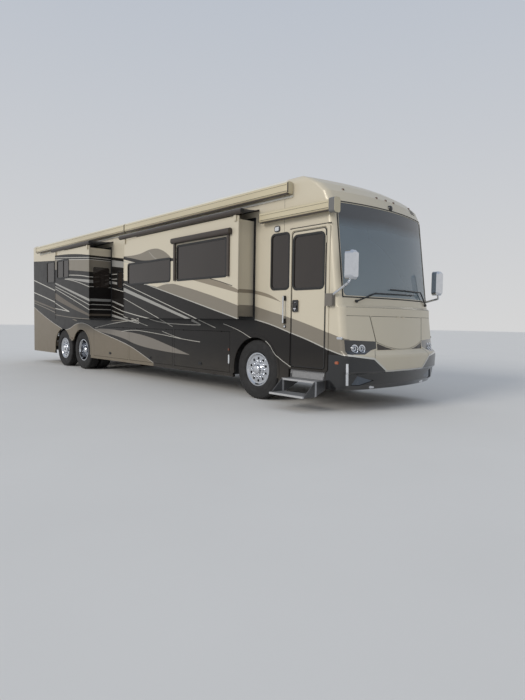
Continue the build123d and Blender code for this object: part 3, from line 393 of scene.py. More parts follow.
body_paint = paint("body_paint", [BODY_ROWS], body=True)
front_slide_paint = paint("front_slide_paint", [FRONT_SLIDE_ROWS])
rear_slide_paint = paint("rear_slide_paint", [REAR_SLIDE_ROWS])
left_slide_paint = paint("left_slide_paint", [FRONT_SLIDE_ROWS, (-4.06, BODY_ROWS), (-5.41, REAR_SLIDE_ROWS)])
black_gloss = finish("black_gloss", srgb(26, 26, 27), 0.16, grain=0.03, Coat_Weight=0.6, Coat_Roughness=0.05)
gel_white = finish("gel_white", srgb(222, 219, 210), 0.42, vary=0.1, scale=2.0, grain=0.05, grain_scale=120)
tinted = finish("tinted_window", srgb(50, 43, 38), 0.05, vary=0.35, scale=1.2, IOR=1.6)
rubber = finish("rubber", srgb(34, 34, 35), 0.72, vary=0.25, scale=14, grain=0.25, grain_scale=500)
tyre_rubber = finish("tyre_rubber", srgb(38, 37, 37), 0.78, vary=0.3, scale=9, grain=0.35, grain_scale=420)
black_trim = finish("black_trim", srgb(30, 30, 31), 0.45, vary=0.2, grain=0.15, grain_scale=700)
alloy = finish("polished_alloy", srgb(214, 216, 220), 0.14, vary=0.08, scale=20, grain=0.05, grain_scale=60,
               stretch=(1, 12, 1), Metallic=1.0)
chrome = finish("chrome", srgb(226, 228, 232), 0.05, vary=0.05, scale=12, Metallic=1.0)
case_alloy = finish("awning_case", srgb(203, 192, 164), 0.36, vary=0.07, scale=3, grain=0.06, grain_scale=40,
                    stretch=(0.05, 1, 1), Coat_Weight=0.3)
bronze = finish("bronze_trim", srgb(72, 64, 58), 0.4, vary=0.15, grain=0.06, Metallic=0.3)
steel_black = finish("chassis_coat", srgb(36, 36, 37), 0.55, vary=0.35, scale=5, grain=0.2, grain_scale=160)
cast = finish("cast_metal", srgb(96, 96, 98), 0.6, vary=0.4, scale=8, grain=0.4, grain_scale=90, Metallic=0.7)
smoke_amber = lens("smoked_amber", srgb(92, 60, 34), 0.15, 0.25, 60, 1.0)
red_lens = lens("red_lens", srgb(150, 20, 22), 0.12, 0.25, 50, 1.0)
white_lens = lens("white_lens", srgb(208, 210, 213), 0.12, 0.1, 50, 1.0)
marker_amber = lens("marker_amber", srgb(172, 94, 62), 0.15, 0.2, 60, 0.8)
dim_amber = lens("dim_amber", srgb(104, 56, 36), 0.2, 0.2, 60, 0.6)
leather = finish("seat_leather", srgb(152, 132, 108), 0.5, vary=0.2, scale=10, grain=0.5, grain_scale=260,
                 Sheen_Weight=0.2)
planks = finish("floor_planks", srgb(134, 102, 70), 0.4, vary=0.45, scale=4, grain=0.1, stretch=(0.2, 4, 1))
lining = finish("bay_lining", srgb(64, 64, 64), 0.85, vary=0.25, scale=12, grain=0.5, grain_scale=220)
# Blue-grey painted sky reflection for the bumper's facets
facet_blue = finish("facet_blue", srgb(66, 76, 88), 0.25, vary=0.1, scale=10, grain=0.03, Coat_Weight=0.6)
lip_silver = finish("lip_silver", srgb(206, 204, 196), 0.2, vary=0.06, scale=8, grain=0.02, Coat_Weight=0.6)
lamp_glass = finish("lamp_glass", srgb(70, 76, 84), 0.06, vary=0.3, scale=40, grain=0.1, Coat_Weight=1.0)
# Dark brown painted shade for the wedges under the hatch
wedge_brown = finish("wedge_brown", srgb(60, 52, 46), 0.35, vary=0.15, scale=9, grain=0.05, Coat_Weight=0.3)
rim_white = finish("rim_white", srgb(206, 204, 198), 0.5, vary=0.12, scale=7, grain=0.1, grain_scale=200)
smoke_lid = finish("smoke_lid", srgb(74, 72, 70), 0.3, vary=0.2, scale=8, grain=0.08, Coat_Weight=0.4)
# Dark seams, and painted shade in the crease under the cowl
seam_black = finish("seam_black", srgb(24, 23, 22), 0.7, vary=0.2, scale=20, grain=0.1)

# Places where the finish changes within one node. END_CAP, bracket_front and mirror_glass are stations,
# TREAD_EDGES and riser_outer are y, and the others are heights or half widths
CLEAR_LENS = (1.12, 1.28)
END_CAP = (1.745, 1.853)
DRIP_RAIL = (3.3, 3.444)
TOPPER_ARMS = (3.02, 3.188)
bracket_front = 1.7905
bracket_top = 1.8205
mirror_glass = 2.0085
mirror_glass_half = 0.0025
TREAD_EDGES = (-1.735, -1.45)
tread_edge_half = 0.02
riser_outer = -1.26
riser_low = 0.475


def windscreen_glass():
    """Tinted laminated glass whose blue-grey colour is a painted sky reflection, lighter low down, with a
    darker band along its top.
    """
    n = Nodes("windscreen_glass", Roughness=0.02, IOR=1.8, Transmission_Weight=0.45, Specular_IOR_Level=0.8)
    height = n.math("ADD", n.xyz()["Z"], n.span(n.noise(0.9), 0, 1, -0.06, 0.06))
    # Painted sky reflection: blue-grey, lighter low down
    sky_reflection = n.mix(n.span(height, 1.8, 2.7), srgb(134, 152, 160), srgb(112, 132, 144))
    n.colour(n.mix(n.span(height, 2.84, 3.02), sky_reflection, srgb(52, 58, 64)))
    return n.material


def lens_panel():
    """Gloss black headlamp panels at the nose, red and clear lamp lenses at the tail."""
    n = Nodes("lens_panel", Coat_Weight=1.0, Coat_Roughness=0.03)
    x, y, z = n.xyz()
    cell = n.noise(120.0, 1.0)
    black = n.mix(cell, srgb(16, 16, 17), srgb(24, 24, 26))
    red = n.mix(cell, srgb(128, 14, 16), srgb(170, 26, 26))
    clear = n.mix(cell, srgb(206, 208, 210), srgb(232, 234, 236))
    n.colour(n.mix(n.above(x, 0.0), n.mix(n.within(z, *CLEAR_LENS), red, clear), black))
    n.rough(n.span(cell, 0.3, 0.7, 0.1, 0.16))
    return n.material


def awning_paint():
    """Awning cases in body cream, the drip rail below them white and the end cap grey."""
    n = Nodes("awning_paint", Coat_Weight=0.4, Coat_Roughness=0.12)
    x, y, z = n.xyz()
    s = n.math("SUBTRACT", x, front_axle)
    cloud = n.noise(2.5, 5.0, (0.2, 1, 1))
    cream = n.mix(cloud, srgb(188, 176, 146), srgb(208, 197, 168))
    white = n.mix(cloud, srgb(214, 212, 204), srgb(232, 230, 222))
    grey = n.mix(cloud, srgb(96, 95, 94), srgb(112, 111, 109))
    n.colour(n.mix(n.within(s, *END_CAP), n.mix(n.within(z, *DRIP_RAIL), cream, white), grey))
    n.rough(n.span(cloud, 0.3, 0.7, 0.32, 0.44))
    n.bump(n.noise(90.0, 1.0, (0.05, 1, 1)), 0.05)
    return n.material


def topper_paint():
    """Dark roller tubes, their arms below in body cream."""
    n = Nodes("topper_paint", Metallic=0.2)
    cloud = n.noise(8.0, 4.0, (0.2, 1, 1))
    dark = n.mix(cloud, srgb(60, 53, 48), srgb(76, 68, 62))
    cream = n.mix(cloud, srgb(196, 187, 166), CREAM)
    n.colour(n.mix(n.within(n.xyz()["Z"], *TOPPER_ARMS), dark, cream))
    n.rough(n.span(cloud, 0.3, 0.7, 0.36, 0.46))
    n.bump(n.noise(160.0, 1.0), 0.05)
    return n.material


def cloth(name, first, second, threads):
    """Woven awning fabric."""
    n = Nodes(name, Roughness=0.85, Sheen_Weight=0.3)
    wave = n.add("ShaderNodeTexWave", wave_type="BANDS", bands_direction="X")
    cross = n.add("ShaderNodeTexWave", wave_type="BANDS", bands_direction="Y")
    for node in (wave, cross):
        n.plug(n.where, node.inputs["Vector"])
        node.inputs["Scale"].default_value = threads
    weave = n.math("MULTIPLY", wave.outputs["Fac"], cross.outputs["Fac"])
    cloud = n.math("MULTIPLY", n.noise(4.0, 4.0), 0.6)
    n.colour(n.mix(n.math("ADD", n.math("MULTIPLY", weave, 0.4), cloud), first, second))
    n.bump(weave, 0.3, 0.0008)
    return n.material


def mirror_coat():
    """Chrome arms and heads, painted brackets on the body and dark glass on the heads' rear faces."""
    n = Nodes("mirror_coat")
    x, y, z = n.xyz()
    s = n.math("SUBTRACT", x, front_axle)
    cloud = n.noise(14.0, 3.0)
    bracket = n.every(n.below(s, bracket_front), n.below(z, bracket_top))
    glass = n.near(s, mirror_glass, mirror_glass_half)
    bright = n.mix(cloud, srgb(206, 208, 212), srgb(226, 228, 232))
    painted = n.mix(cloud, srgb(104, 99, 92), srgb(116, 110, 102))
    dark = n.mix(cloud, srgb(40, 44, 48), srgb(52, 56, 60))
    n.colour(n.mix(glass, n.mix(bracket, bright, painted), dark))
    n.plug(n.math("SUBTRACT", 1.0, n.math("MAXIMUM", bracket, glass)), n.shader.inputs["Metallic"])
    n.rough(n.math("ADD", n.span(cloud, 0.3, 0.7, 0.04, 0.08), n.math("MULTIPLY", bracket, 0.3)))
    return n.material


def step_coat():
    """Dark ribbed step frame with bright tread edges, lighter treads and a light riser."""
    n = Nodes("step_coat")
    x, y, z = n.xyz()
    cloud = n.noise(30.0, 4.0)
    ribs = n.add("ShaderNodeTexWave", wave_type="BANDS", bands_direction="X")
    n.plug(n.where, ribs.inputs["Vector"])
    ribs.inputs["Scale"].default_value = 18.0
    edges = n.math("MAXIMUM", *[n.near(y, edge, tread_edge_half) for edge in TREAD_EDGES])
    riser = n.math("MULTIPLY", n.every(n.above(z, riser_low), n.above(y, riser_outer)), 0.6)
    normal = n.add("ShaderNodeSeparateXYZ")
    n.plug(n.add("ShaderNodeNewGeometry").outputs["Normal"], normal.inputs[0])
    treads = n.math("MULTIPLY", n.above(normal.outputs[2], 0.8), 0.45)
    light = n.math("MAXIMUM", n.math("MAXIMUM", edges, riser), treads)
    dark, bright = (n.mix(cloud, srgb(a, a, a + 1), srgb(b, b, b + 1)) for a, b in ((58, 84), (158, 186)))
    n.colour(n.mix(light, dark, bright))
    n.rough(n.span(cloud, 0.3, 0.7, 0.4, 0.55))
    n.bump(n.math("MULTIPLY", ribs.outputs["Fac"], n.span(z, 0.2, 0.5, 1.0, 0.9)), 0.35, 0.002)
    return n.material


screen_glass = windscreen_glass()
mirror_paint = mirror_coat()
step_paint = step_coat()
lamp_panel = lens_panel()
awning_coat = awning_paint()
topper_coat = topper_paint()
topper_cloth = cloth("topper_cloth", srgb(48, 44, 42), srgb(72, 66, 62), 300.0)

FINISHES = {
    "chassis_frame": steel_black, "cabin_floor": planks, "basement": lining, "wall_right": body_paint,
    "wall_left": body_paint, "roof": gel_white, "rear_cap": body_paint, "front_cap": body_paint,
    "windshield": screen_glass, "wall_windows": tinted, "front_bumper": black_gloss, "lamps": lamp_panel,
    "mirrors": mirror_paint, "wipers": black_trim, "awnings": awning_coat, "roof_units": gel_white,
    "engine": cast, "front_axle": steel_black, "drive_axle": steel_black, "tag_axle": steel_black,
    "dashboard": black_trim, "cab_seats": leather, "grab_handle": chrome, "hitch_receiver": steel_black,
    "entry_door": body_paint, "entry_door_window": tinted, "entry_step": step_paint,
    "engine_door": body_paint, "nose_hatch": body_paint, "front_slide": front_slide_paint,
    "rear_slide": rear_slide_paint, "left_slide": left_slide_paint,
}
for slide in ROOM_LOW:
    FINISHES[slide + "_windows"] = tinted
    FINISHES[slide + "_topper"] = topper_coat
for word, side in SIDES:
    FINISHES["knuckle_" + word] = steel_black
    FINISHES["drive_rims_" + word] = alloy
    FINISHES["drive_tyres_" + word] = tyre_rubber
    for i in (1, 2, 3):
        FINISHES["bay_door_{}_{}".format(word, i)] = body_paint
    for axle in ("front", "tag"):
        FINISHES["{}_rim_{}".format(axle, word)] = alloy
        FINISHES["{}_tyre_{}".format(axle, word)] = tyre_rubber
for name, material in FINISHES.items():
    for place in frame["nodes"][name].material_slots:
        place.material = material


# Shapes in mesh code
def point(axis, u, v, w):
    """Point at w along an axis, with u and v in the plane across it."""
    return {"x": (w, u, v), "y": (u, w, v), "z": (u, v, w)}[axis]


def rounded(u0, u1, v0, v1, r, steps=5, grow=0.0):
    """Outline of a rectangle with round corners, its edges moved out by grow."""
    u0, u1, v0, v1 = u0 - grow, u1 + grow, v0 - grow, v1 + grow
    corners = ((u1 - r, v1 - r, 0), (u0 + r, v1 - r, 90), (u0 + r, v0 + r, 180), (u1 - r, v0 + r, 270))
    points = []
    for cu, cv, start in corners:
        for i in range(steps + 1):
            a = math.radians(start + 90 * i / steps)
            points.append((cu + r * math.cos(a), cv + r * math.sin(a)))
    return points


def rounded_at(u, v, half_u, half_v, r):
    """Outline of a rectangle with round corners about its middle."""
    return rounded(u - half_u, u + half_u, v - half_v, v + half_v, r)


def side_outline(s0, s1, z0, z1, r, grow=0.0):
    """Outline on a side wall between two stations and two heights."""
    return rounded(station(s0), station(s1), z0, z1, r, grow=grow)


def skin_span(side, inside, outside, face=half_width):
    """Range of y from inside a side's outer face to outside it, in rising order."""
    return sorted((side * (face - inside), side * (face + outside)))


def prism(bm, axis, points, low, high):
    """Outline extruded along an axis."""
    ends = [[bm.verts.new(point(axis, u, v, w)) for u, v in points] for w in (low, high)]
    bm.faces.new(ends[0])
    bm.faces.new(ends[1])
    for i in range(len(points)):
        j = (i + 1) % len(points)
        bm.faces.new((ends[0][i], ends[0][j], ends[1][j], ends[1][i]))


def box(bm, x, y, z):
    prism(bm, "z", [(x[0], y[0]), (x[1], y[0]), (x[1], y[1]), (x[0], y[1])], z[0], z[1])


def ring(bm, axis, outer, inner, low, high):
    """Flat frame between two outlines with as many points."""
    loops = [[bm.verts.new(point(axis, u, v, w)) for u, v in line]
             for w in (low, high) for line in (outer, inner)]
    count = len(outer)
    for a, b in ((0, 1), (2, 3), (0, 2), (1, 3)):
        for i in range(count):
            j = (i + 1) % count
            bm.faces.new((loops[a][i], loops[a][j], loops[b][j], loops[b][i]))


def skin_loops(bm, loops, closed=False):
    """Faces from each loop of points to the next. Open ends are capped."""
    pairs = list(zip(loops, loops[1:])) + ([(loops[-1], loops[0])] if closed else [])
    for first, second in pairs:
        for i in range(len(first)):
            j = (i + 1) % len(first)
            bm.faces.new((first[i], first[j], second[j], second[i]))
    if not closed:
        bm.faces.new(loops[0])
        bm.faces.new(loops[-1])


def turn(bm, axis, centre, profile, segments=32, closed=False):
    """Profile of (distance along the axis, radius) turned about an axis through centre."""
    loops = []
    for along, radius in profile:
        loop = []
        for i in range(segments):
            a = 2 * math.pi * i / segments
            offset = Vector(point(axis, radius * math.cos(a), radius * math.sin(a), along))
            loop.append(bm.verts.new(Vector(centre) + offset))
        loops.append(loop)
    skin_loops(bm, loops, closed)


def piece(name, bm, material, body, bevel=0.0, steps=2):
    """Finished piece that rides on a body; without a body it is left free."""
    bmesh.ops.recalc_face_normals(bm, faces=bm.faces)
    if bevel:
        sharp = [e for e in bm.edges if len(e.link_faces) == 2 and e.calc_face_angle() > math.radians(40)]
        bmesh.ops.bevel(bm, geom=sharp, offset=bevel, segments=steps, affect="EDGES", clamp_overlap=True)
    mesh = bpy.data.meshes.new(name)
    bm.to_mesh(mesh)
    bm.free()
    mesh.materials.append(material)
    mesh.shade_smooth()
    mesh.set_sharp_from_angle(angle=math.radians(50))
    obj = bpy.data.objects.new(name, mesh)
    scene.collection.objects.link(obj)
    obj.modifiers.new("normals", "WEIGHTED_NORMAL").keep_sharp = True
    if body:
        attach(obj, body)
    return obj


def skin_tree(*names):
    """Search tree of some nodes' faces."""
    bm = bmesh.new()
    for name in names:
        bm.from_mesh(frame["nodes"][name].data)
    tree = BVHTree.FromBMesh(bm)
    bm.free()
    return tree


nose = skin_tree("front_cap", "windshield", "front_bumper", "nose_hatch", "lamps")
far_off = 9.0


def nose_x(y, z):
    """X of the nose skin at y and z, seen from ahead."""
    hit = nose.ray_cast(Vector((far_off, y, z)), Vector((-1, 0, 0)))[0]
    return hit.x if hit else station(2.0)


def divided(points, count, closed=False):
    """Points with each run cut into count."""
    runs = list(zip(points, points[1:])) + ([(points[-1], points[0])] if closed else [])
    line = []
    for (u0, v0), (u1, v1) in runs:
        line += [(u0 + (u1 - u0) * i / count, v0 + (v1 - v0) * i / count) for i in range(count)]
    return line if closed else line + [points[-1]]


def nose_band(bm, outer, inner, proud, closed=False):
    """Strip on the nose skin between two lines of (y, z), standing proud of it."""
    lift = Vector((proud, 0, 0))
    sink = Vector((-0.003, 0, 0))
    loops = []
    for (y, z), (v, w) in zip(outer, inner):
        a, b = Vector((nose_x(y, z), y, z)), Vector((nose_x(v, w), v, w))
        loops.append([bm.verts.new(p) for p in (a + sink, a + lift, b + lift, b + sink)])
    skin_loops(bm, loops, closed)


# Tyres: section with sidewall ribs, four grooves round the tread and cut shoulders
tyre_r = 0.529
tyre_half = 0.149
bead_r = 0.299
tread_half = 0.112
groove_depth = 0.014
groove_half = 0.006
GROOVES = (-0.078, -0.027, 0.027, 0.078)
tread_blocks = 90
slot_depth = 0.007
# From each edge of a pair of twin tyres to the middle of the tyre there
twin_inset = 0.15


def tyre_profile():
    """Section from bead to bead as (distance along the axle, radius, cut by shoulder slots)."""
    wall = [(tyre_half - 0.036, bead_r), (tyre_half - 0.012, bead_r + 0.03),
            (tyre_half - 0.006, bead_r + 0.045), (tyre_half - 0.009, bead_r + 0.05),
            (tyre_half, bead_r + 0.105), (tyre_half - 0.002, bead_r + 0.12),
            (tyre_half - 0.006, bead_r + 0.124), (tyre_half - 0.006, tyre_r - 0.062),
            (tyre_half - 0.013, tyre_r - 0.034)]
    shoulder = [(tyre_half - 0.02, tyre_r - 0.018), (tread_half + 0.006, tyre_r - 0.003)]
    tread = []
    for g in GROOVES:
        tread += [(g - groove_half, tyre_r), (g - groove_half * 0.6, tyre_r - groove_depth),
                  (g + groove_half * 0.6, tyre_r - groove_depth), (g + groove_half, tyre_r)]
    left = [(-w, r, False) for w, r in wall] + [(-w, r, True) for w, r in shoulder]
    right = [(-w, r, cut) for w, r, cut in reversed(left)]
    return left + [(w, r, False) for w, r in tread] + right


def add_tyre(bm, x, y):
    segments = 2 * tread_blocks
    loops = []
    for along, radius, cut in tyre_profile():
        loop = []
        for i in range(segments):
            a = 2 * math.pi * i / segments
            r = radius - (slot_depth if cut and i % 4 == 0 else 0)
            loop.append(bm.verts.new((x + r * math.sin(a), y + along, axle_z + r * math.cos(a))))
        loops.append(loop)
    skin_loops(bm, loops, closed=True)


def tyres():
    for word, side in SIDES:
        for axle, body in (("front", "front_wheel_"), ("tag", "tag_wheel_")):
            bm = bmesh.new()
            add_tyre(bm, *joints[axle + "_wheel_spin_" + word]["pos_m"][:2])
            obj = piece(axle + "_tyre_detail_" + word, bm, tyre_rubber, body + word)
            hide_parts(axle + "_tyre_" + word)
        low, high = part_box("drive_tyres_" + word)
        bm = bmesh.new()
        for y in (low[1] + twin_inset, high[1] - twin_inset):
            add_tyre(bm, drive_axle, y)
        obj = piece("drive_tyres_detail_" + word, bm, tyre_rubber, "drive_wheels_" + word)
        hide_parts("drive_tyres_" + word)


tyres()


# Wheels: capped nuts and hub covers. Profiles are (distance out from the disc, radius)
nut_circle = 0.1429
nut_count = 10
disc_face = 0.096
twin_disc_inset = 0.163
NUT = [(0, 0.024), (0.006, 0.024), (0.008, 0.017), (0.034, 0.0165), (0.044, 0.012), (0.047, 0.004)]
COVER = [(0.0, 0.118), (0.006, 0.119), (0.012, 0.112), (0.016, 0.088), (0.05, 0.084), (0.064, 0.078),
         (0.072, 0.06), (0.075, 0.03), (0.0755, 0.004)]
TWIN_COVER = [(0.0, 0.112), (0.04, 0.1), (0.2, 0.09), (0.235, 0.086), (0.245, 0.075), (0.262, 0.05),
              (0.266, 0.02)]


def wheel_trim(name, x, y, side, cover, body):
    """Ring of nuts and a hub cover on a wheel disc whose face is at y."""
    bm = bmesh.new()
    for i in range(nut_count):
        a = 2 * math.pi * (i + 0.5) / nut_count
        centre = (x + nut_circle * math.sin(a), y, axle_z + nut_circle * math.cos(a))
        turn(bm, "y", centre, [(side * w, r) for w, r in NUT], 6)
    turn(bm, "y", (x, y, axle_z), [(side * w, r) for w, r in cover], 40)
    piece(name, bm, chrome, body)


def wheels():
    for word, side in SIDES:
        for axle in ("front", "tag"):
            x, y = joints[axle + "_wheel_spin_" + word]["pos_m"][:2]
            body = axle + "_wheel_" + word
            wheel_trim(axle + "_wheel_trim_" + word, x, y + side * disc_face, side, COVER, body)
        low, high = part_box("drive_tyres_" + word)
        disc = (low[1] if side < 0 else high[1]) - side * (twin_inset + twin_disc_inset)
        wheel_trim("drive_wheel_trim_" + word, drive_axle, disc, side, TWIN_COVER, "drive_wheels_" + word)


wheels()


# Window frames
frame_out = 0.008
frame_in = 0.028
bar_half = 0.014
bar_place = 0.54
skin = half_width
front_face = -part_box("front_slide")[0][1]
rear_face = -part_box("rear_slide")[0][1]
left_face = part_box("left_slide")[1][1]
# Columns: name, body, side, wall's outer face, rear s, front s, low z, top z, corner radius, barred pane
WINDOW_FRAMES = [
    ("narrow", "coach", -1, skin, 0.383, 0.820, 1.917, 2.854, 0.080, False),
    ("gap", "coach", -1, skin, -5.100, -4.820, 2.135, 2.575, 0.050, False),
    ("bedroom_right", "coach", -1, skin, -9.700, -9.100, 2.480, 3.125, 0.060, False),
    ("driver", "coach", 1, skin, 0.420, 1.480, 1.915, 2.852, 0.070, True),
    ("bedroom_left", "coach", 1, skin, -9.700, -9.100, 2.480, 3.125, 0.060, False),
    ("galley", "coach", 1, skin, -1.250, -0.450, 2.250, 2.950, 0.060, True),
    ("door", "entry_door", -1, skin, 0.905, 1.570, 1.901, 2.781, 0.080, False),
    ("slide_small", "front_slide", -1, front_face, -3.865, -2.130, 2.160, 2.635, 0.060, False),
    ("slide_big", "front_slide", -1, front_face, -1.900, -0.345, 2.160, 2.850, 0.040, False),
    ("slide_rear", "rear_slide", -1, rear_face, -7.400, -6.620, 2.460, 2.950, 0.060, True),
    ("left_a", "left_slide", 1, left_face, -7.050, -5.650, 2.160, 2.850, 0.060, True),
    ("left_b", "left_slide", 1, left_face, -4.500, -3.100, 2.160, 2.850, 0.060, True),
    ("left_c", "left_slide", 1, left_face, -2.750, -2.050, 2.160, 2.850, 0.060, True),
]


def window_frames():
    for name, body, side, face, s0, s1, z0, z1, r, barred in WINDOW_FRAMES:
        bm = bmesh.new()
        ring(bm, "y", side_outline(s0, s1, z0, z1, r + frame_out, frame_out),
             side_outline(s0, s1, z0, z1, r - 0.02, -frame_in), side * (face - 0.004), side * (face + 0.009))
        if barred:
            x = station(s0 + bar_place * (s1 - s0))
            box(bm, (x - bar_half, x + bar_half), skin_span(side, 0.008, 0.006, face), (z0 + 0.02, z1 - 0.02))
        piece("window_frame_" + name, bm, black_trim, body, 0.003)


window_frames()


# Entry door: surround, gasket, latch and lock, mounts and switch of the grab handle, gutter
SURROUND = (0.832, 1.682, 0.606, 2.888)
SURROUND_INSIDE = (0.872, 1.632, 0.64, 2.853)
GASKET = (0.882, 1.61, 0.655, 2.84)
GASKET_INSIDE = (0.893, 1.588, 0.668, 2.828)
LATCH = (0.92, 1.049, 1.544, 1.739)
lock_s = 0.985
lock_z = 1.695
switch_z = 1.304
mount_inset = 0.03
# The gutter's piece also holds the seams at this station, where the nose meets the side walls
nose_seam_s = 0.69
NOSE_SEAM_RUN = (2.86, 3.59)


def entry_door():
    face = -half_width
    bm = bmesh.new()
    ring(bm, "y", side_outline(*SURROUND, 0.06), side_outline(*SURROUND_INSIDE, 0.05),
         face - 0.012, face + 0.004)
    piece("door_surround", bm, body_paint, "coach", 0.004)
    bm = bmesh.new()
    ring(bm, "y", side_outline(*GASKET, 0.052), side_outline(*GASKET_INSIDE, 0.045),
         face - 0.004, face + 0.006)
    piece("door_gasket", bm, rubber, "entry_door", 0.0015)
    bm = bmesh.new()
    prism(bm, "y", side_outline(*LATCH, 0.02), face - 0.02, face + 0.001)
    ring(bm, "y", side_outline(*LATCH, 0.02), side_outline(*LATCH, 0.012, -0.015), face - 0.026, face - 0.018)
    box(bm, (station(0.95), station(1.02)), (face - 0.032, face - 0.018), (1.61, 1.65))
    barrel = [(0, 0.016), (-0.005, 0.015), (-0.007, 0.011)]
    turn(bm, "y", (station(lock_s), face - 0.018, lock_z), barrel, 16)
    piece("door_latch", bm, black_gloss, "entry_door", 0.003)
    bm = bmesh.new()
    plug = [(0, 0.008), (-0.004, 0.007), (-0.005, 0.003)]
    turn(bm, "y", (station(lock_s), face - 0.024, lock_z), plug, 16)
    box(bm, (station(0.955), station(1.015)), (face - 0.037, face - 0.031), (1.588, 1.606))
    box(bm, (station(0.98), station(0.99)), (face - 0.035, face - 0.02), (1.564, 1.6))
    piece("door_lock", bm, chrome, "entry_door", 0.001)
    low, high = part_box("grab_handle")
    x = (low[0] + high[0]) / 2
    bm = bmesh.new()
    for z in (low[2] + mount_inset, high[2] - mount_inset):
        prism(bm, "y", rounded_at(x, z, 0.024, 0.042, 0.016), face - 0.034, face + 0.001)
    turn(bm, "y", (x, face, switch_z), [(0, 0.03), (-0.006, 0.03), (-0.008, 0.026)], 24)
    piece("handle_mounts", bm, black_trim, "coach", 0.005)
    bm = bmesh.new()
    top = SURROUND[3]
    box(bm, (station(0.835), station(1.7)), (face - 0.011, face + 0.001), (top, top + 0.012))
    seam = (station(nose_seam_s - 0.002), station(nose_seam_s + 0.002))
    for side in (-1, 1):
        box(bm, seam, skin_span(side, 0.002, 0.0012), NOSE_SEAM_RUN)
    piece("door_gutter", bm, seam_black, "coach", 0.0004)
    bm = bmesh.new()
    turn(bm, "y", (x, face - 0.008, switch_z), [(0, 0.02), (-0.008, 0.018), (-0.01, 0.008)], 24)
    piece("door_switch", bm, chrome, "coach")


entry_door()


# Small lamps and reflectors on the body sides
# Columns: name, finish, rear s, front s, low z, top z, corner radius, how far proud of the wall
SIDE_MARKS = [
    ("porch_lamp", white_lens, 0.48, 0.575, 2.9, 2.965, 0.02, 0.022),
    ("front_reflector", white_lens, -0.743, -0.713, 0.592, 0.751, 0.008, 0.006),
    ("front_marker", dim_amber, -0.745, -0.711, 0.83, 0.87, 0.008, 0.012),
    ("nose_marker", marker_amber, 1.822, 1.885, 0.752, 0.788, 0.014, 0.014),
    ("arch_marker", dim_amber, -7.862, -7.818, 0.825, 0.858, 0.01, 0.012),
    ("nose_side_trim", chrome, 1.845, 1.95, 1.133, 1.158, 0.012, 0.01),
]


def side_marks():
    for name, material, s0, s1, z0, z1, r, proud in SIDE_MARKS:
        porch = name == "porch_lamp"
        for word, side in SIDES[:1] if porch else SIDES:
            bm = bmesh.new()
            prism(bm, "y", side_outline(s0, s1, z0, z1, r), *skin_span(side, 0.002, proud))
            ring(bm, "y", side_outline(s0, s1, z0, z1, r + 0.006, 0.006),
                 side_outline(s0, s1, z0, z1, r - 0.001, -0.001), *skin_span(side, 0.002, proud * 0.4))
            piece(name + "_" + word, bm, material, "coach", 0.0025)
            if porch:
                bm = bmesh.new()
                ring(bm, "y", side_outline(s0, s1, z0, z1, r + 0.018, 0.018),
                     side_outline(s0, s1, z0, z1, r + 0.006, 0.006), *skin_span(side, 0.002, proud * 0.7))
                piece("porch_lamp_frame", bm, black_trim, "coach", 0.002)


side_marks()


# Nose: windscreen border, lip of the valance, seams and painted shade in a crease, headlamps, corner trim
# with painted sky reflections, and painted shadow wedges under the hatch
SCREEN = [(-1.182, 1.795), (1.182, 1.795), (1.172, 3.218), (-1.172, 3.218)]
VALANCE_LIP = [(-1.262, 0.888), (-0.81, 0.83), (-0.52, 0.628), (0.52, 0.628), (0.81, 0.83), (1.262, 0.888)]
# Columns: line of (y, z) that is mirrored to the other half, half its width
NOSE_SEAMS_AND_CREASE_SHADE = [
    ([(1.2, 1.488), (0.752, 1.488)], 0.0025),
    # Not a seam: painted shade, a dark line along the ledge under the cowl
    ([(1.2, 1.62), (0.01, 1.62)], 0.0025),
    ([(0.757, 1.49), (0.666, 1.087)], 0.0045),
    ([(0.697, 0.96), (0.763, 0.9), (0.784, 0.87), (0.787, 0.842)], 0.003),
]
# Columns: y, radius
HEADLAMPS = [(1.10, 0.05), (0.965, 0.047)]
headlamp_z = 0.99
bowl_depth = 0.014
fog_y = 0.719
fog_z = 0.39
# Columns: outer y, inner y, z
CORNER_REFLECTOR = [(1.2795, 1.2625, 0.766), (1.277, 1.2575, 0.64), (1.257, 1.2285, 0.6),
                    (1.2395, 1.2055, 0.433)]
# Upper and lower edge of the painted sky reflection on a bumper facet, each as two runs of (y, z), and how
# often each run is cut
FACETS = [([(1.143, 0.442), (1.054, 0.574)], [(1.05, 0.573), (0.76, 0.494)]),
          ([(1.1, 0.438), (1.0, 0.434)], [(0.99, 0.434), (0.755, 0.488)])]
facet_cuts = (6, 8)
# Painted shadow wedge under the hatch, dark where its recess lies in shade
wedge_start = 0.3
wedge_length = 0.345
wedge_cuts = 14
wedge_low = 0.963
flat_proud = 0.003
hatch_low = 0.948
hatch_curve_r = 1.81


def mirrored(line, side):
    return [(side * y, z) for y, z in line]


def shifted(line, dy, dz):
    return [(y + dy, z + dz) for y, z in line]


def scaled_outline(points, grow):
    """Outline pushed out by grow on both axes from its middle."""
    cy = sum(p[0] for p in points) / len(points)
    cz = sum(p[1] for p in points) / len(points)
    return [(y + math.copysign(grow, y - cy), z + math.copysign(grow, z - cz)) for y, z in points]


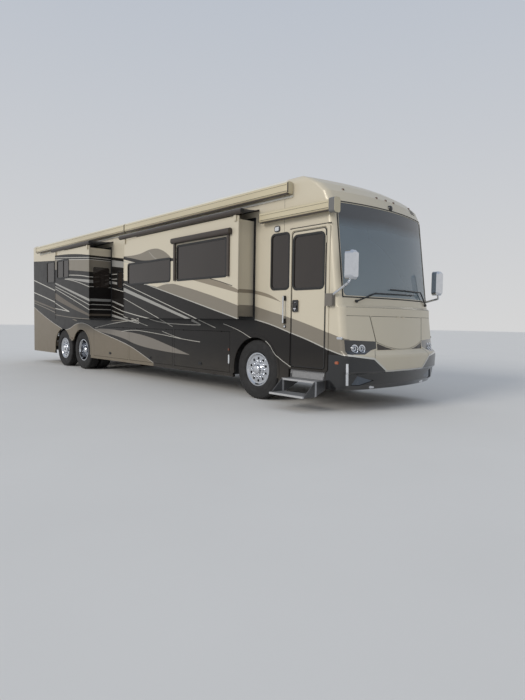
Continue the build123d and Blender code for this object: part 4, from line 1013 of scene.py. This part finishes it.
def nose_trim():
    bm = bmesh.new()
    outer = divided(scaled_outline(SCREEN, 0.012), 24, closed=True)
    inner = divided(scaled_outline(SCREEN, -0.03), 24, closed=True)
    nose_band(bm, outer, inner, 0.004, closed=True)
    piece("windscreen_border", bm, rubber, "coach")
    bm = bmesh.new()
    line = divided(VALANCE_LIP, 16)
    nose_band(bm, shifted(line, 0, 0.02), shifted(line, 0, -0.008), 0.007)
    piece("valance_lip", bm, lip_silver, "coach")
    # Seams, and the painted shade line along the ledge under the cowl
    bm = bmesh.new()
    for side in (-1, 1):
        for ends, half in NOSE_SEAMS_AND_CREASE_SHADE:
            line = divided(mirrored(ends, side), 14)
            dy, dz = (0, half) if ends[0][1] == ends[1][1] else (half, 0)
            nose_band(bm, shifted(line, -dy, -dz), shifted(line, dy, dz), 0.0012)
    piece("nose_seams", bm, seam_black, "coach")


def wedge_z(y):
    """Upper edge of the shadow wedge under the hatch's swept lower edge."""
    return hatch_low + hatch_curve_r - math.sqrt(hatch_curve_r ** 2 - y * y)


def circle(y, z, r, count=36):
    angles = [2 * math.pi * i / count for i in range(count)]
    return [(y + r * math.cos(a), z + r * math.sin(a)) for a in angles]


def headlamps(word, side):
    chrome_bm = bmesh.new()
    lens_bm = bmesh.new()
    for lamp_y, r in HEADLAMPS:
        y, z = side * lamp_y, headlamp_z
        centre = (nose_x(y, z) + bowl_depth, y, z)
        bezel = [(0.0, r + 0.001), (0.007, r + 0.001), (0.0095, r - 0.004), (0.005, r - 0.011),
                 (-0.006, r - 0.0105)]
        turn(chrome_bm, "x", centre, bezel, 32, closed=True)
        bowl = [(-0.012, r - 0.011), (0.0, r - 0.0125), (-0.007, 0.026), (-0.001, 0.0245),
                (-0.001, 0.021), (-0.01, 0.02)]
        turn(chrome_bm, "x", centre, bowl, 32)
        dome = [(-0.009, 0.0205), (0.0, 0.02), (0.004, 0.014), (0.006, 0.004)]
        turn(lens_bm, "x", centre, dome, 32)
        nose_band(chrome_bm, circle(y, z, r + 0.013), circle(y, z, r + 0.001), 0.007, closed=True)
    piece("headlamp_bezels_" + word, chrome_bm, chrome, "coach")
    piece("headlamp_lenses_" + word, lens_bm, lamp_glass, "coach")


def corner_trim(word, side):
    """Fog lamp and reflector at the bumper's corner, a painted sky reflection on its facet, and the painted
    shadow wedge under the hatch.
    """
    bm = bmesh.new()
    x = nose_x(side * fog_y, fog_z)
    prism(bm, "x", rounded_at(side * fog_y, fog_z, 0.06, 0.025, 0.02), x - 0.01, x + 0.008)
    piece("fog_lamp_" + word, bm, white_lens, "coach", 0.004)
    bm = bmesh.new()
    outer, inner = (divided([(side * row[i], row[2]) for row in CORNER_REFLECTOR], 10) for i in (0, 1))
    nose_band(bm, outer, inner, flat_proud)
    piece("corner_reflector_" + word, bm, white_lens, "coach")
    # Painted sky reflection on the bumper's facet
    bm = bmesh.new()
    upper, lower = ([p for run, cuts in zip(edge, facet_cuts) for p in divided(mirrored(run, side), cuts)]
                    for edge in FACETS)
    nose_band(bm, upper, lower, flat_proud)
    piece("bumper_facet_" + word, bm, facet_blue, "coach")
    # Painted shadow: the dark wedge under the hatch's swept lower edge
    bm = bmesh.new()
    along = [wedge_start + wedge_length * i / wedge_cuts for i in range(wedge_cuts + 1)]
    top, bottom = ([(y, wedge_z(y)) for y in along], [(y, wedge_low) for y in along])
    nose_band(bm, mirrored(top, side), mirrored(bottom, side), flat_proud)
    piece("hatch_wedge_" + word, bm, wedge_brown, "coach")


# Brow: roof markers, dome and louvres
ROOF_MARKERS = [(-0.93, 3.46), (-0.24, 3.42), (0.01, 3.42), (0.25, 3.42), (0.94, 3.45)]
dome_y = 0.033
dome_z = 3.285
marker_sink = 0.02
louvre_low = 3.35
louvre_step = 0.035
LOUVRE_Y = (0.86, 0.95, 1.06)


def roof_markers():
    for i, (y, z) in enumerate(ROOF_MARKERS):
        bm = bmesh.new()
        profile = [(0, 0.022), (0.026, 0.021), (0.034, 0.016), (0.039, 0.005)]
        turn(bm, "x", (nose_x(y, z) - marker_sink, y, z), profile, 20)
        piece("roof_marker_{}".format(i + 1), bm, smoke_amber, "coach")
    bm = bmesh.new()
    profile = [(0, 0.05), (0.03, 0.05), (0.045, 0.044), (0.056, 0.03), (0.06, 0.008)]
    turn(bm, "x", (nose_x(dome_y, dome_z) - marker_sink, dome_y, dome_z), profile, 28)
    piece("nose_dome", bm, black_gloss, "coach")
    bm = bmesh.new()
    for i in range(3):
        line = [(y, louvre_low + i * louvre_step) for y in LOUVRE_Y]
        nose_band(bm, shifted(line, 0, 0.009), shifted(line, 0, -0.009), 0.004)
    piece("brow_louvres", bm, black_trim, "coach")


nose_trim()
for word, side in SIDES:
    headlamps(word, side)
    corner_trim(word, side)
roof_markers()


# Awnings: channels, ends and edges of the cases. Columns: rear s, front s, low z, top z
AWNING_RUNS = [
    (-10.25, -4.535, 3.456, 3.638),
    (-4.505, 0.873, 3.456, 3.638),
    (0.205, END_CAP[0], 3.06, 3.222),
]
case_out = 0.131


def awnings():
    y = -half_width - case_out
    for i, (s0, s1, z0, z1) in enumerate(AWNING_RUNS):
        x0, x1 = station(s0), station(s1)
        bm = bmesh.new()
        for z, h in ((z0 + 0.028, 0.006), (z1 - 0.052, 0.004)):
            box(bm, (x0 + 0.02, x1 - 0.02), (y - 0.003, y + 0.01), (z, z + h))
        box(bm, (x0 + 0.01, x1 - 0.01), (y + 0.012, y + 0.06), (z0 - 0.012, z0 + 0.006))
        piece("awning_channels_{}".format(i + 1), bm, bronze, "coach", 0.0015)
        bm = bmesh.new()
        for x in ((x0 - 0.006, x0 + 0.012), (x1 - 0.012, x1 + 0.006)):
            prism(bm, "x", rounded(y - 0.003, -half_width, z0 - 0.005, z1 + 0.004, 0.04), *x)
        piece("awning_ends_{}".format(i + 1), bm, case_alloy, "coach", 0.003)
        bm = bmesh.new()
        for x in (x0 - 0.0065, x1 - 0.0035):
            box(bm, (x, x + 0.01), (y - 0.0045, y + 0.014), (z0 + 0.006, z1 - 0.02))
        piece("awning_edges_{}".format(i + 1), bm, bronze, "coach")


# Toppers over the slide-out rooms: cloth from a rail on the wall to the roller, and the roller's ends
topper_over = 0.1
roller_out = 0.025
roller_up = 0.057
roller_r = 0.046
rail_up = 0.075
cloth_sag = 0.018
cloth_rows = 12
cloth_columns = 40
ROLLER_END = [(0, 0.04), (0.004, 0.0445), (0.03, 0.0445), (0.034, 0.038)]


def toppers():
    for name, side in SLIDES:
        low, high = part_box(name)
        roller_low, roller_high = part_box(name + "_topper")
        reach = max(abs(low[1]), abs(high[1]))
        roller_y = side * (reach + roller_out)
        roller_z = high[2] + roller_up
        cloth_z = roller_z + roller_r
        x0, x1 = low[0] - topper_over, high[0] + topper_over
        wall_y, wall_z = side * (half_width + 0.002), roller_z + rail_up
        bm = bmesh.new()
        grid = []
        for i in range(cloth_rows + 1):
            t = i / cloth_rows
            line = []
            for j in range(cloth_columns + 1):
                u = j / cloth_columns
                sag = cloth_sag * math.sin(math.pi * t) * (0.6 + 0.4 * math.sin(math.pi * u))
                z = wall_z + (cloth_z - wall_z) * t - sag
                line.append(bm.verts.new((x0 + (x1 - x0) * u, wall_y + (roller_y - wall_y) * t, z)))
            grid.append(line)
        for first, second in zip(grid, grid[1:]):
            for j in range(cloth_columns):
                bm.faces.new((first[j], first[j + 1], second[j + 1], second[j]))
        obj = piece(name + "_topper_cloth", bm, topper_cloth, None)
        obj.modifiers.clear()
        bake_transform(obj)
        bm = bmesh.new()
        box(bm, (x0, x1), skin_span(side, 0, 0.014), (wall_z - 0.016, wall_z + 0.01))
        piece(name + "_topper_rail", bm, bronze, "coach", 0.003)
        bm = bmesh.new()
        for x in (roller_low[0] - 0.004, roller_high[0] - 0.03):
            turn(bm, "x", (x, roller_y, roller_z), ROLLER_END, 28)
        piece(name + "_topper_ends", bm, black_trim, name)


awnings()
toppers()


# Slide-out rooms: trim round the flange, and the seal on the wall that the flange laps over
flange_lap = 0.033


def slide_trim():
    for name, side in SLIDES:
        low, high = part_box(name)
        face = max(abs(low[1]), abs(high[1]))
        edges = (low[0], high[0], ROOM_LOW[name], high[2])
        bm = bmesh.new()
        ring(bm, "y", rounded(*edges, 0.012, 3, 0.004), rounded(*edges, 0.006, 3, -0.014),
             *skin_span(side, 0.02, 0.004, face))
        piece(name + "_flange_trim", bm, FINISHES[name], name, 0.002)
        bm = bmesh.new()
        ring(bm, "y", rounded(*edges, 0.02, 3, 0.05 - flange_lap),
             rounded(*edges, 0.01, 3, -0.004 - flange_lap), *skin_span(side, 0.003, 0.003))
        piece(name + "_wall_seal", bm, rubber, "coach", 0.0012)


slide_trim()


# Latches of the storage bay doors and the engine door
# Columns: half width, low z, top z, corner radius
BAY_PLATE = (0.06, 0.5, 0.56, 0.02)
BAY_PULL = (0.045, 0.515, 0.54, 0.01)
ENGINE_PLATE = (0.07, 0.672, 0.732, 0.02)
ENGINE_PULL = (0.052, 0.69, 0.716, 0.01)
engine_latch_y = 0.42


def latch_outline(middle, half, low, top, r):
    return rounded(middle - half, middle + half, low, top, r)


def bay_latches():
    for word, side in SIDES:
        for i in (1, 2, 3):
            name = "bay_door_{}_{}".format(word, i)
            low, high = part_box(name)
            mid = (low[0] + high[0]) / 2
            bm = bmesh.new()
            prism(bm, "y", latch_outline(mid, *BAY_PLATE), *skin_span(side, 0.002, 0.006))
            prism(bm, "y", latch_outline(mid, *BAY_PULL), *skin_span(side, 0, 0.014))
            piece(name + "_latch", bm, black_trim, name, 0.002)


bay_latches()


# Arch lips round the wheel openings
arch_outer_r = 0.624
arch_inner_r = 0.57
arch_steps = 48
# Columns: axle, angles from the top towards the rear and the front
ARCHES = [(front_axle, -100, 100), (drive_axle, -62, 100), (tag_axle, -100, 62)]
# The lip's section as (radius, distance out from the wall)
ARCH_SECTION = [(arch_inner_r, -0.02), (arch_inner_r, 0.001), (arch_inner_r + 0.004, 0.004),
                (arch_outer_r, 0.004), (arch_outer_r, -0.02)]


def arch_lips():
    for word, side in SIDES:
        for i, (x, start, end) in enumerate(ARCHES):
            bm = bmesh.new()
            loops = []
            for k in range(arch_steps + 1):
                a = math.radians(start + (end - start) * k / arch_steps)
                corners = [(x + r * math.sin(a), side * (half_width + out), axle_z + r * math.cos(a))
                           for r, out in ARCH_SECTION]
                loops.append([bm.verts.new(corner) for corner in corners])
            skin_loops(bm, loops)
            piece("arch_lip_{}_{}".format(word, i + 1), bm, body_paint, "coach")


arch_lips()


# Roof units: gaskets, grilles, ribs, rims and lids, and tapes over the roof's seams
roof_level = 3.786
# Stations of the air conditioners, the vents and the seams
AIR = (-0.9, -4.7, -8.7)
VENTS = (-2.6, -6.5, -9.9)
ROOF_SEAMS = (-10.05, -7.6, -5.6, -3.65, -1.75, 0.3)
air_height = 0.168
rib_low = roof_level + 0.16
tape_half_y = 1.14
tape_half_x = 0.03
tape_steps = 24
TAPE_SECTION = [(-tape_half_x, -0.004), (-tape_half_x, 0.0015), (tape_half_x, 0.0015), (tape_half_x, -0.004)]


def frame_round(bm, x, half_l, half_w, z0, z1, width, r):
    outline = (x - half_l, x + half_l, -half_w, half_w)
    ring(bm, "z", rounded(*outline, r), rounded(*outline, max(0.004, r - width), grow=-width), z0, z1)


def slat_span(middle, end, half, lean, z):
    """Range across a slat in a leaning face, from inside the face to outside it."""
    face = middle + end * (half - lean * (z - roof_level) / air_height)
    return sorted((face - end * 0.012, face + end * 0.004))


def air_conditioner(i, x):
    bm = bmesh.new()
    frame_round(bm, x, 0.494, 0.354, roof_level - 0.03, roof_level + 0.008, 0.03, 0.03)
    for end in (-1, 1):
        for k in range(5):
            z = roof_level + 0.028 + 0.021 * k
            box(bm, slat_span(x, end, 0.48, 0.08, z), (-0.24, 0.24), (z - 0.004, z + 0.004))
        for k in range(4):
            z = roof_level + 0.03 + 0.024 * k
            box(bm, (x - 0.3, x + 0.05), slat_span(0, end, 0.34, 0.06, z), (z - 0.004, z + 0.004))
    piece("air_con_grilles_{}".format(i + 1), bm, black_trim, "coach", 0.0015)
    bm = bmesh.new()
    frame_round(bm, x, 0.33, 0.2, rib_low, rib_low + 0.007, 0.012, 0.06)
    for y in (-0.07, 0.0, 0.07):
        box(bm, (x - 0.24, x + 0.24), (y - 0.012, y + 0.012), (rib_low, rib_low + 0.007))
    piece("air_con_ribs_{}".format(i + 1), bm, rim_white, "coach", 0.002)


def vent(i, x):
    bm = bmesh.new()
    frame_round(bm, x, 0.25, 0.25, roof_level - 0.03, roof_level + 0.012, 0.035, 0.03)
    frame_round(bm, x, 0.226, 0.226, roof_level + 0.03, roof_level + 0.044, 0.012, 0.02)
    for y in (-0.12, 0.12):
        turn(bm, "y", (x - 0.228, y - 0.03, roof_level + 0.05), [(0, 0.011), (0.06, 0.011)], 14)
    piece("vent_rim_{}".format(i + 1), bm, rim_white, "coach", 0.002)
    bm = bmesh.new()
    prism(bm, "z", rounded(x - 0.15, x + 0.15, -0.15, 0.15, 0.03), roof_level + 0.088, roof_level + 0.1)
    for y in (-0.08, 0.0, 0.08):
        box(bm, (x - 0.13, x + 0.13), (y - 0.006, y + 0.006), (roof_level + 0.098, roof_level + 0.105))
    piece("vent_lid_{}".format(i + 1), bm, smoke_lid, "coach", 0.003)


def seam_tapes():
    roof = skin_tree("roof")
    bm = bmesh.new()
    for x in map(station, ROOF_SEAMS):
        loops = []
        for k in range(tape_steps + 1):
            y = 2 * tape_half_y * k / tape_steps - tape_half_y
            hit = roof.ray_cast(Vector((x, y, far_off)), Vector((0, 0, -1)))[0]
            z = hit.z if hit else roof_level
            loops.append([bm.verts.new((x + dx, y, z + dz)) for dx, dz in TAPE_SECTION])
        skin_loops(bm, loops)
    piece("roof_seam_tapes", bm, rim_white, "coach")


for number, s in enumerate(AIR):
    air_conditioner(number, station(s))
for number, s in enumerate(VENTS):
    vent(number, station(s))
seam_tapes()


# Tail: lamp frames and rings, reflectors, markers, brake lamp and latches of the engine door
rear = skin_tree("rear_cap", "engine_door")
# Columns: y, z
TAIL_MARKS = [(-0.98, 3.47), (-0.2, 3.47), (0.0, 3.47), (0.2, 3.47), (0.98, 3.47)]
tail_lamp_y = 1.085
tail_lamp_low = 0.889
tail_lamp_top = 1.571
# Columns: z, radius of the outer ring
TAIL_RINGS = [(1.415, 0.047), (1.2, 0.04), (1.01, 0.047)]
reflector_y = 1.09
reflector_z = 0.62
brake_z = 3.3


def tail_x(y, z):
    """X of the tail skin at y and z, seen from behind."""
    hit = rear.ray_cast(Vector((-far_off, y, z)), Vector((1, 0, 0)))[0]
    return hit.x if hit else tail


def tail_lamps(word, side):
    y = side * tail_lamp_y
    edges = (y - 0.076, y + 0.076, tail_lamp_low, tail_lamp_top)
    bm = bmesh.new()
    ring(bm, "x", rounded(*edges, 0.05), rounded(*edges, 0.032, grow=-0.02), tail - 0.02, tail + 0.004)
    for z in CLEAR_LENS:
        box(bm, (tail - 0.018, tail + 0.002), (y - 0.058, y + 0.058), (z - 0.006, z + 0.006))
    piece("tail_lamp_frame_" + word, bm, chrome, "coach", 0.004)
    bm = bmesh.new()
    for z, r in TAIL_RINGS:
        for rim in (r, r - 0.013, r - 0.026):
            section = [(0.002, rim), (-0.003, rim), (-0.005, rim - 0.002), (-0.005, rim - 0.004),
                       (0.002, rim - 0.004)]
            turn(bm, "x", (tail - 0.0125, y, z), section, 28, closed=True)
    piece("tail_lamp_rings_" + word, bm, red_lens, "coach")
    bm = bmesh.new()
    y, z = side * reflector_y, reflector_z
    profile = [(0, 0.038), (-0.006, 0.038), (-0.009, 0.034), (-0.01, 0.01)]
    turn(bm, "x", (tail_x(y, z) + 0.002, y, z), profile, 28)
    for y, z in TAIL_MARKS:
        if y * side > 0 or (y == 0 and side < 0):
            x = tail_x(y, z)
            prism(bm, "x", rounded_at(y, z, 0.045, 0.014, 0.012), x - 0.012, x + 0.02)
    piece("tail_markers_" + word, bm, red_lens, "coach", 0.003)


def tail_trim():
    for word, side in SIDES:
        tail_lamps(word, side)
    bm = bmesh.new()
    x = tail_x(0.0, brake_z)
    prism(bm, "x", rounded(-0.19, 0.19, brake_z - 0.015, brake_z + 0.025, 0.016), x - 0.012, x + 0.01)
    piece("high_brake_lamp", bm, red_lens, "coach", 0.003)
    bm = bmesh.new()
    for y in (-engine_latch_y, engine_latch_y):
        x = tail_x(y, 0.7)
        prism(bm, "x", latch_outline(y, *ENGINE_PLATE), x - 0.006, x + 0.002)
        prism(bm, "x", latch_outline(y, *ENGINE_PULL), x - 0.014, x + 0.001)
    piece("engine_door_latches", bm, black_trim, "engine_door", 0.002)


tail_trim()


# Cab seats: padded cushions, backs and arms on painted pedestals. Columns: word, s, y
SEATS = [("driver", 0.98, 0.62), ("passenger", 0.42, -0.62)]
CUSHION = (0.54, 0.54, 0.17)
BACK = (0.74, 0.5, 0.145)
ARM = (0.38, 0.06, 0.06)
back_tilt = math.radians(81.05)
# Pedestal blocks. Columns: low z, top z, half width
PEDESTAL = [(1.302, 1.33, 0.2), (1.33, 1.5, 0.14), (1.5, 1.548, 0.2)]
cushion_z = 1.635
back_behind = 0.2475
back_z = 2.065
arm_out = 0.3
arm_z = 1.89
# Padding: room left for swelling, grid of the remesh, most that a point may move, pressure and its frames
pad_margin = 0.012
pad_voxel = 0.013
pad_swell = 0.015
pad_pressure = 4
pad_frames = 20
# Sewn channels and welts: half width, depth of each, and how far the sides are drawn in at the middle
stitch_half = 0.012
channel_depth = 0.012
welt_depth = 0.008
side_pull = 0.006


def block_mesh(size, round_r):
    """Rounded block about the origin."""
    bm = bmesh.new()
    box(bm, *((-d / 2, d / 2) for d in size))
    bmesh.ops.recalc_face_normals(bm, faces=bm.faces)
    bmesh.ops.bevel(bm, geom=bm.edges[:], offset=round_r, segments=4, affect="EDGES", clamp_overlap=True)
    return bm


def evaluated(obj):
    return bpy.data.meshes.new_from_object(obj.evaluated_get(bpy.context.evaluated_depsgraph_get()))


def swollen(obj):
    """Cloth under pressure, each point's move capped, applied to the mesh."""
    rest = [v.co.copy() for v in obj.data.vertices]
    cloth_set = obj.modifiers.new("cloth", "CLOTH").settings
    cloth_set.use_pressure = True
    cloth_set.uniform_pressure_force = pad_pressure
    cloth_set.quality = 4
    cloth_set.effector_weights.gravity = 0
    for number in range(1, pad_frames + 1):
        scene.frame_set(number)
    mesh = evaluated(obj)
    obj.modifiers.clear()
    for v, start in zip(mesh.vertices, rest):
        move = v.co - start
        if move.length > pad_swell:
            v.co = start + move * (pad_swell / move.length)
    scene.frame_set(1)
    return mesh


def pad(name, size, round_r, place, tilt, channels):
    """Padded piece: a block remeshed, swollen as cloth, its sewn channels pressed in, then smoothed."""
    wide = size[1] > 0.2
    bm = block_mesh([d - 2 * (pad_margin if wide else 0.002) for d in size], round_r)
    mesh = bpy.data.meshes.new(name)
    bm.to_mesh(mesh)
    bm.free()
    obj = bpy.data.objects.new(name, mesh)
    scene.collection.objects.link(obj)
    remesh = obj.modifiers.new("remesh", "REMESH")
    remesh.mode = "VOXEL"
    remesh.voxel_size = pad_voxel
    mesh = evaluated(obj)
    obj.modifiers.clear()
    obj.data = mesh
    if wide:
        obj.data = swollen(obj)
    mesh = obj.data
    half_l, half_w, half_t = (d / 2 for d in size)
    for v in mesh.vertices if wide else ():
        x, y, z = v.co
        press = 0.0
        for across in channels:
            press = max(press, math.exp(-((x - across) / stitch_half) ** 2))
        welt = math.exp(-((abs(y) - half_w * 0.74) / stitch_half) ** 2)
        if z > half_t * 0.35:
            v.co.z -= channel_depth * press + welt_depth * welt
        pull = math.cos(min(1.0, abs(x) / half_l) * math.pi / 2) * side_pull
        v.co.y -= math.copysign(pull, y) * (1 if abs(y) > half_w * 0.85 else 0)
    turned = Matrix.Translation(place) @ Matrix.Rotation(tilt, 4, "Y")
    mesh.transform(turned)
    mesh.materials.clear()
    mesh.materials.append(leather)
    mesh.shade_smooth()
    obj.modifiers.new("smooth", "SUBSURF").levels = 1
    obj.modifiers["smooth"].render_levels = 1
    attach(obj, "coach")
    return obj


def cab_seats():
    for word, s, y in SEATS:
        x = station(s)
        made = [
            pad("seat_cushion_" + word, CUSHION, 0.05, (x, y, cushion_z), 0.0, (-0.1, 0.06, 0.19)),
            pad("seat_back_" + word, BACK, 0.045, (x - back_behind, y, back_z), back_tilt,
                (-0.22, -0.06, 0.1, 0.24)),
        ]
        for arm, side in SIDES:
            name = "seat_arm_{}_{}".format(word, arm)
            made.append(pad(name, ARM, 0.018, (x - 0.01, y + side * arm_out, arm_z), 0.0, ()))
        bm = bmesh.new()
        for low, high, half in PEDESTAL:
            prism(bm, "z", rounded_at(x, y, half, half, 0.04), low, high)
        for side in (-1, 1):
            turn(bm, "y", (x - 0.2, y + side * 0.23, 1.885), [(0, 0.026), (side * 0.06, 0.026)], 20)
        pedestal = piece("seat_base_" + word, bm, black_trim, "coach", 0.006)
        for obj in made + [pedestal]:
            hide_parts("cab_seats")


# Dash: a hood over the dials, two low ones beside it, dials and pedals. Outlines are points (s, z)
HOOD = [(1.66, 1.7), (1.69, 1.8), (1.76, 1.835), (1.86, 1.8), (1.9, 1.74)]
LOW_HOOD = [(1.67, 1.71), (1.7, 1.752), (1.88, 1.765), (1.9, 1.74)]
# Columns: y, radius
DIALS = [(0.5, 0.05), (0.62, 0.038), (0.74, 0.05), (0.84, 0.03)]


def dash_trim():
    bm = bmesh.new()
    for outline, y0, y1 in ((HOOD, 0.33, 0.91), (LOW_HOOD, -0.95, -0.3), (LOW_HOOD, -0.22, 0.22)):
        prism(bm, "y", [(station(s), z) for s, z in outline], y0, y1)
    piece("dash_hood", bm, rubber, "coach", 0.012, 3)
    bm = bmesh.new()
    for y, r in DIALS:
        profile = [(0.01, r), (-0.004, r), (-0.007, r - 0.004), (0.001, r - 0.007)]
        turn(bm, "x", (station(1.672), y, 1.762), profile, 28)
    for y0, y1 in ((-0.16, 0.16), (0.36, 0.42)):
        box(bm, (station(1.607), station(1.625)), (y0, y1), (1.5, 1.6))
    piece("dash_dials", bm, chrome, "coach", 0.002)


cab_seats()
dash_trim()


# Floor, light and camera
camera_place = (11.185, -7.4766, 1.3641)
camera_azimuth = 47.0852
camera_pitch = -3.008
camera_roll = 0.8375
camera_lens = 26.84
sky_strength = 0.85
SKY_LOW = (0.78, 0.78, 0.78, 1)
SKY_HIGH = (0.52, 0.58, 0.68, 1)
sun_strength = 1.5
sun_spread = math.radians(24)
SUN_AIM = (0.1, 0.86, -0.4)


def studio():
    bm = bmesh.new()
    bmesh.ops.create_grid(bm, x_segments=2, y_segments=2, size=120)
    mesh = bpy.data.meshes.new("studio_floor")
    bm.to_mesh(mesh)
    bm.free()
    floor = bpy.data.objects.new("studio_floor", mesh)
    scene.collection.objects.link(floor)
    n = Nodes("studio_floor", Roughness=0.9, Specular_IOR_Level=0.2)
    n.colour(n.mix(n.noise(0.6, 4.0), srgb(222, 220, 216), srgb(228, 226, 222)))
    mesh.materials.append(n.material)
    world = bpy.data.worlds.new("studio")
    scene.world = world
    world.use_nodes = True
    tree = world.node_tree
    background = tree.nodes["Background"]
    coordinate = tree.nodes.new("ShaderNodeTexCoord")
    split = tree.nodes.new("ShaderNodeSeparateXYZ")
    ramp = tree.nodes.new("ShaderNodeValToRGB")
    tree.links.new(coordinate.outputs["Generated"], split.inputs[0])
    tree.links.new(split.outputs[2], ramp.inputs[0])
    ramp.color_ramp.elements[0].position = 0.0
    ramp.color_ramp.elements[0].color = SKY_LOW
    ramp.color_ramp.elements[1].position = 0.7
    ramp.color_ramp.elements[1].color = SKY_HIGH
    tree.links.new(ramp.outputs[0], background.inputs[0])
    background.inputs["Strength"].default_value = sky_strength
    lamp = bpy.data.lights.new("soft_sun", "SUN")
    lamp.energy = sun_strength
    lamp.angle = sun_spread
    lamp.color = (1.0, 0.96, 0.9)
    sun = bpy.data.objects.new("soft_sun", lamp)
    sun.rotation_euler = Vector(SUN_AIM).to_track_quat("-Z", "Y").to_euler()
    scene.collection.objects.link(sun)


def place_camera():
    a, e, r = (math.radians(v) for v in (camera_azimuth, camera_pitch, camera_roll))
    forward = Vector((-math.sin(a) * math.cos(e), math.cos(a) * math.cos(e), math.sin(e)))
    right = Vector((math.cos(a), math.sin(a), 0))
    up = right.cross(forward)
    rolled_right = math.cos(r) * right + math.sin(r) * up
    rolled_up = -math.sin(r) * right + math.cos(r) * up
    turned = Matrix((rolled_right, rolled_up, -forward)).transposed()
    data = bpy.data.cameras.new("photo_camera")
    data.lens = camera_lens
    data.sensor_width = 36
    camera = bpy.data.objects.new("photo_camera", data)
    camera.matrix_world = Matrix.Translation(camera_place) @ turned.to_4x4()
    scene.collection.objects.link(camera)
    scene.camera = camera


studio()
place_camera()
scene.view_settings.view_transform = "Standard"
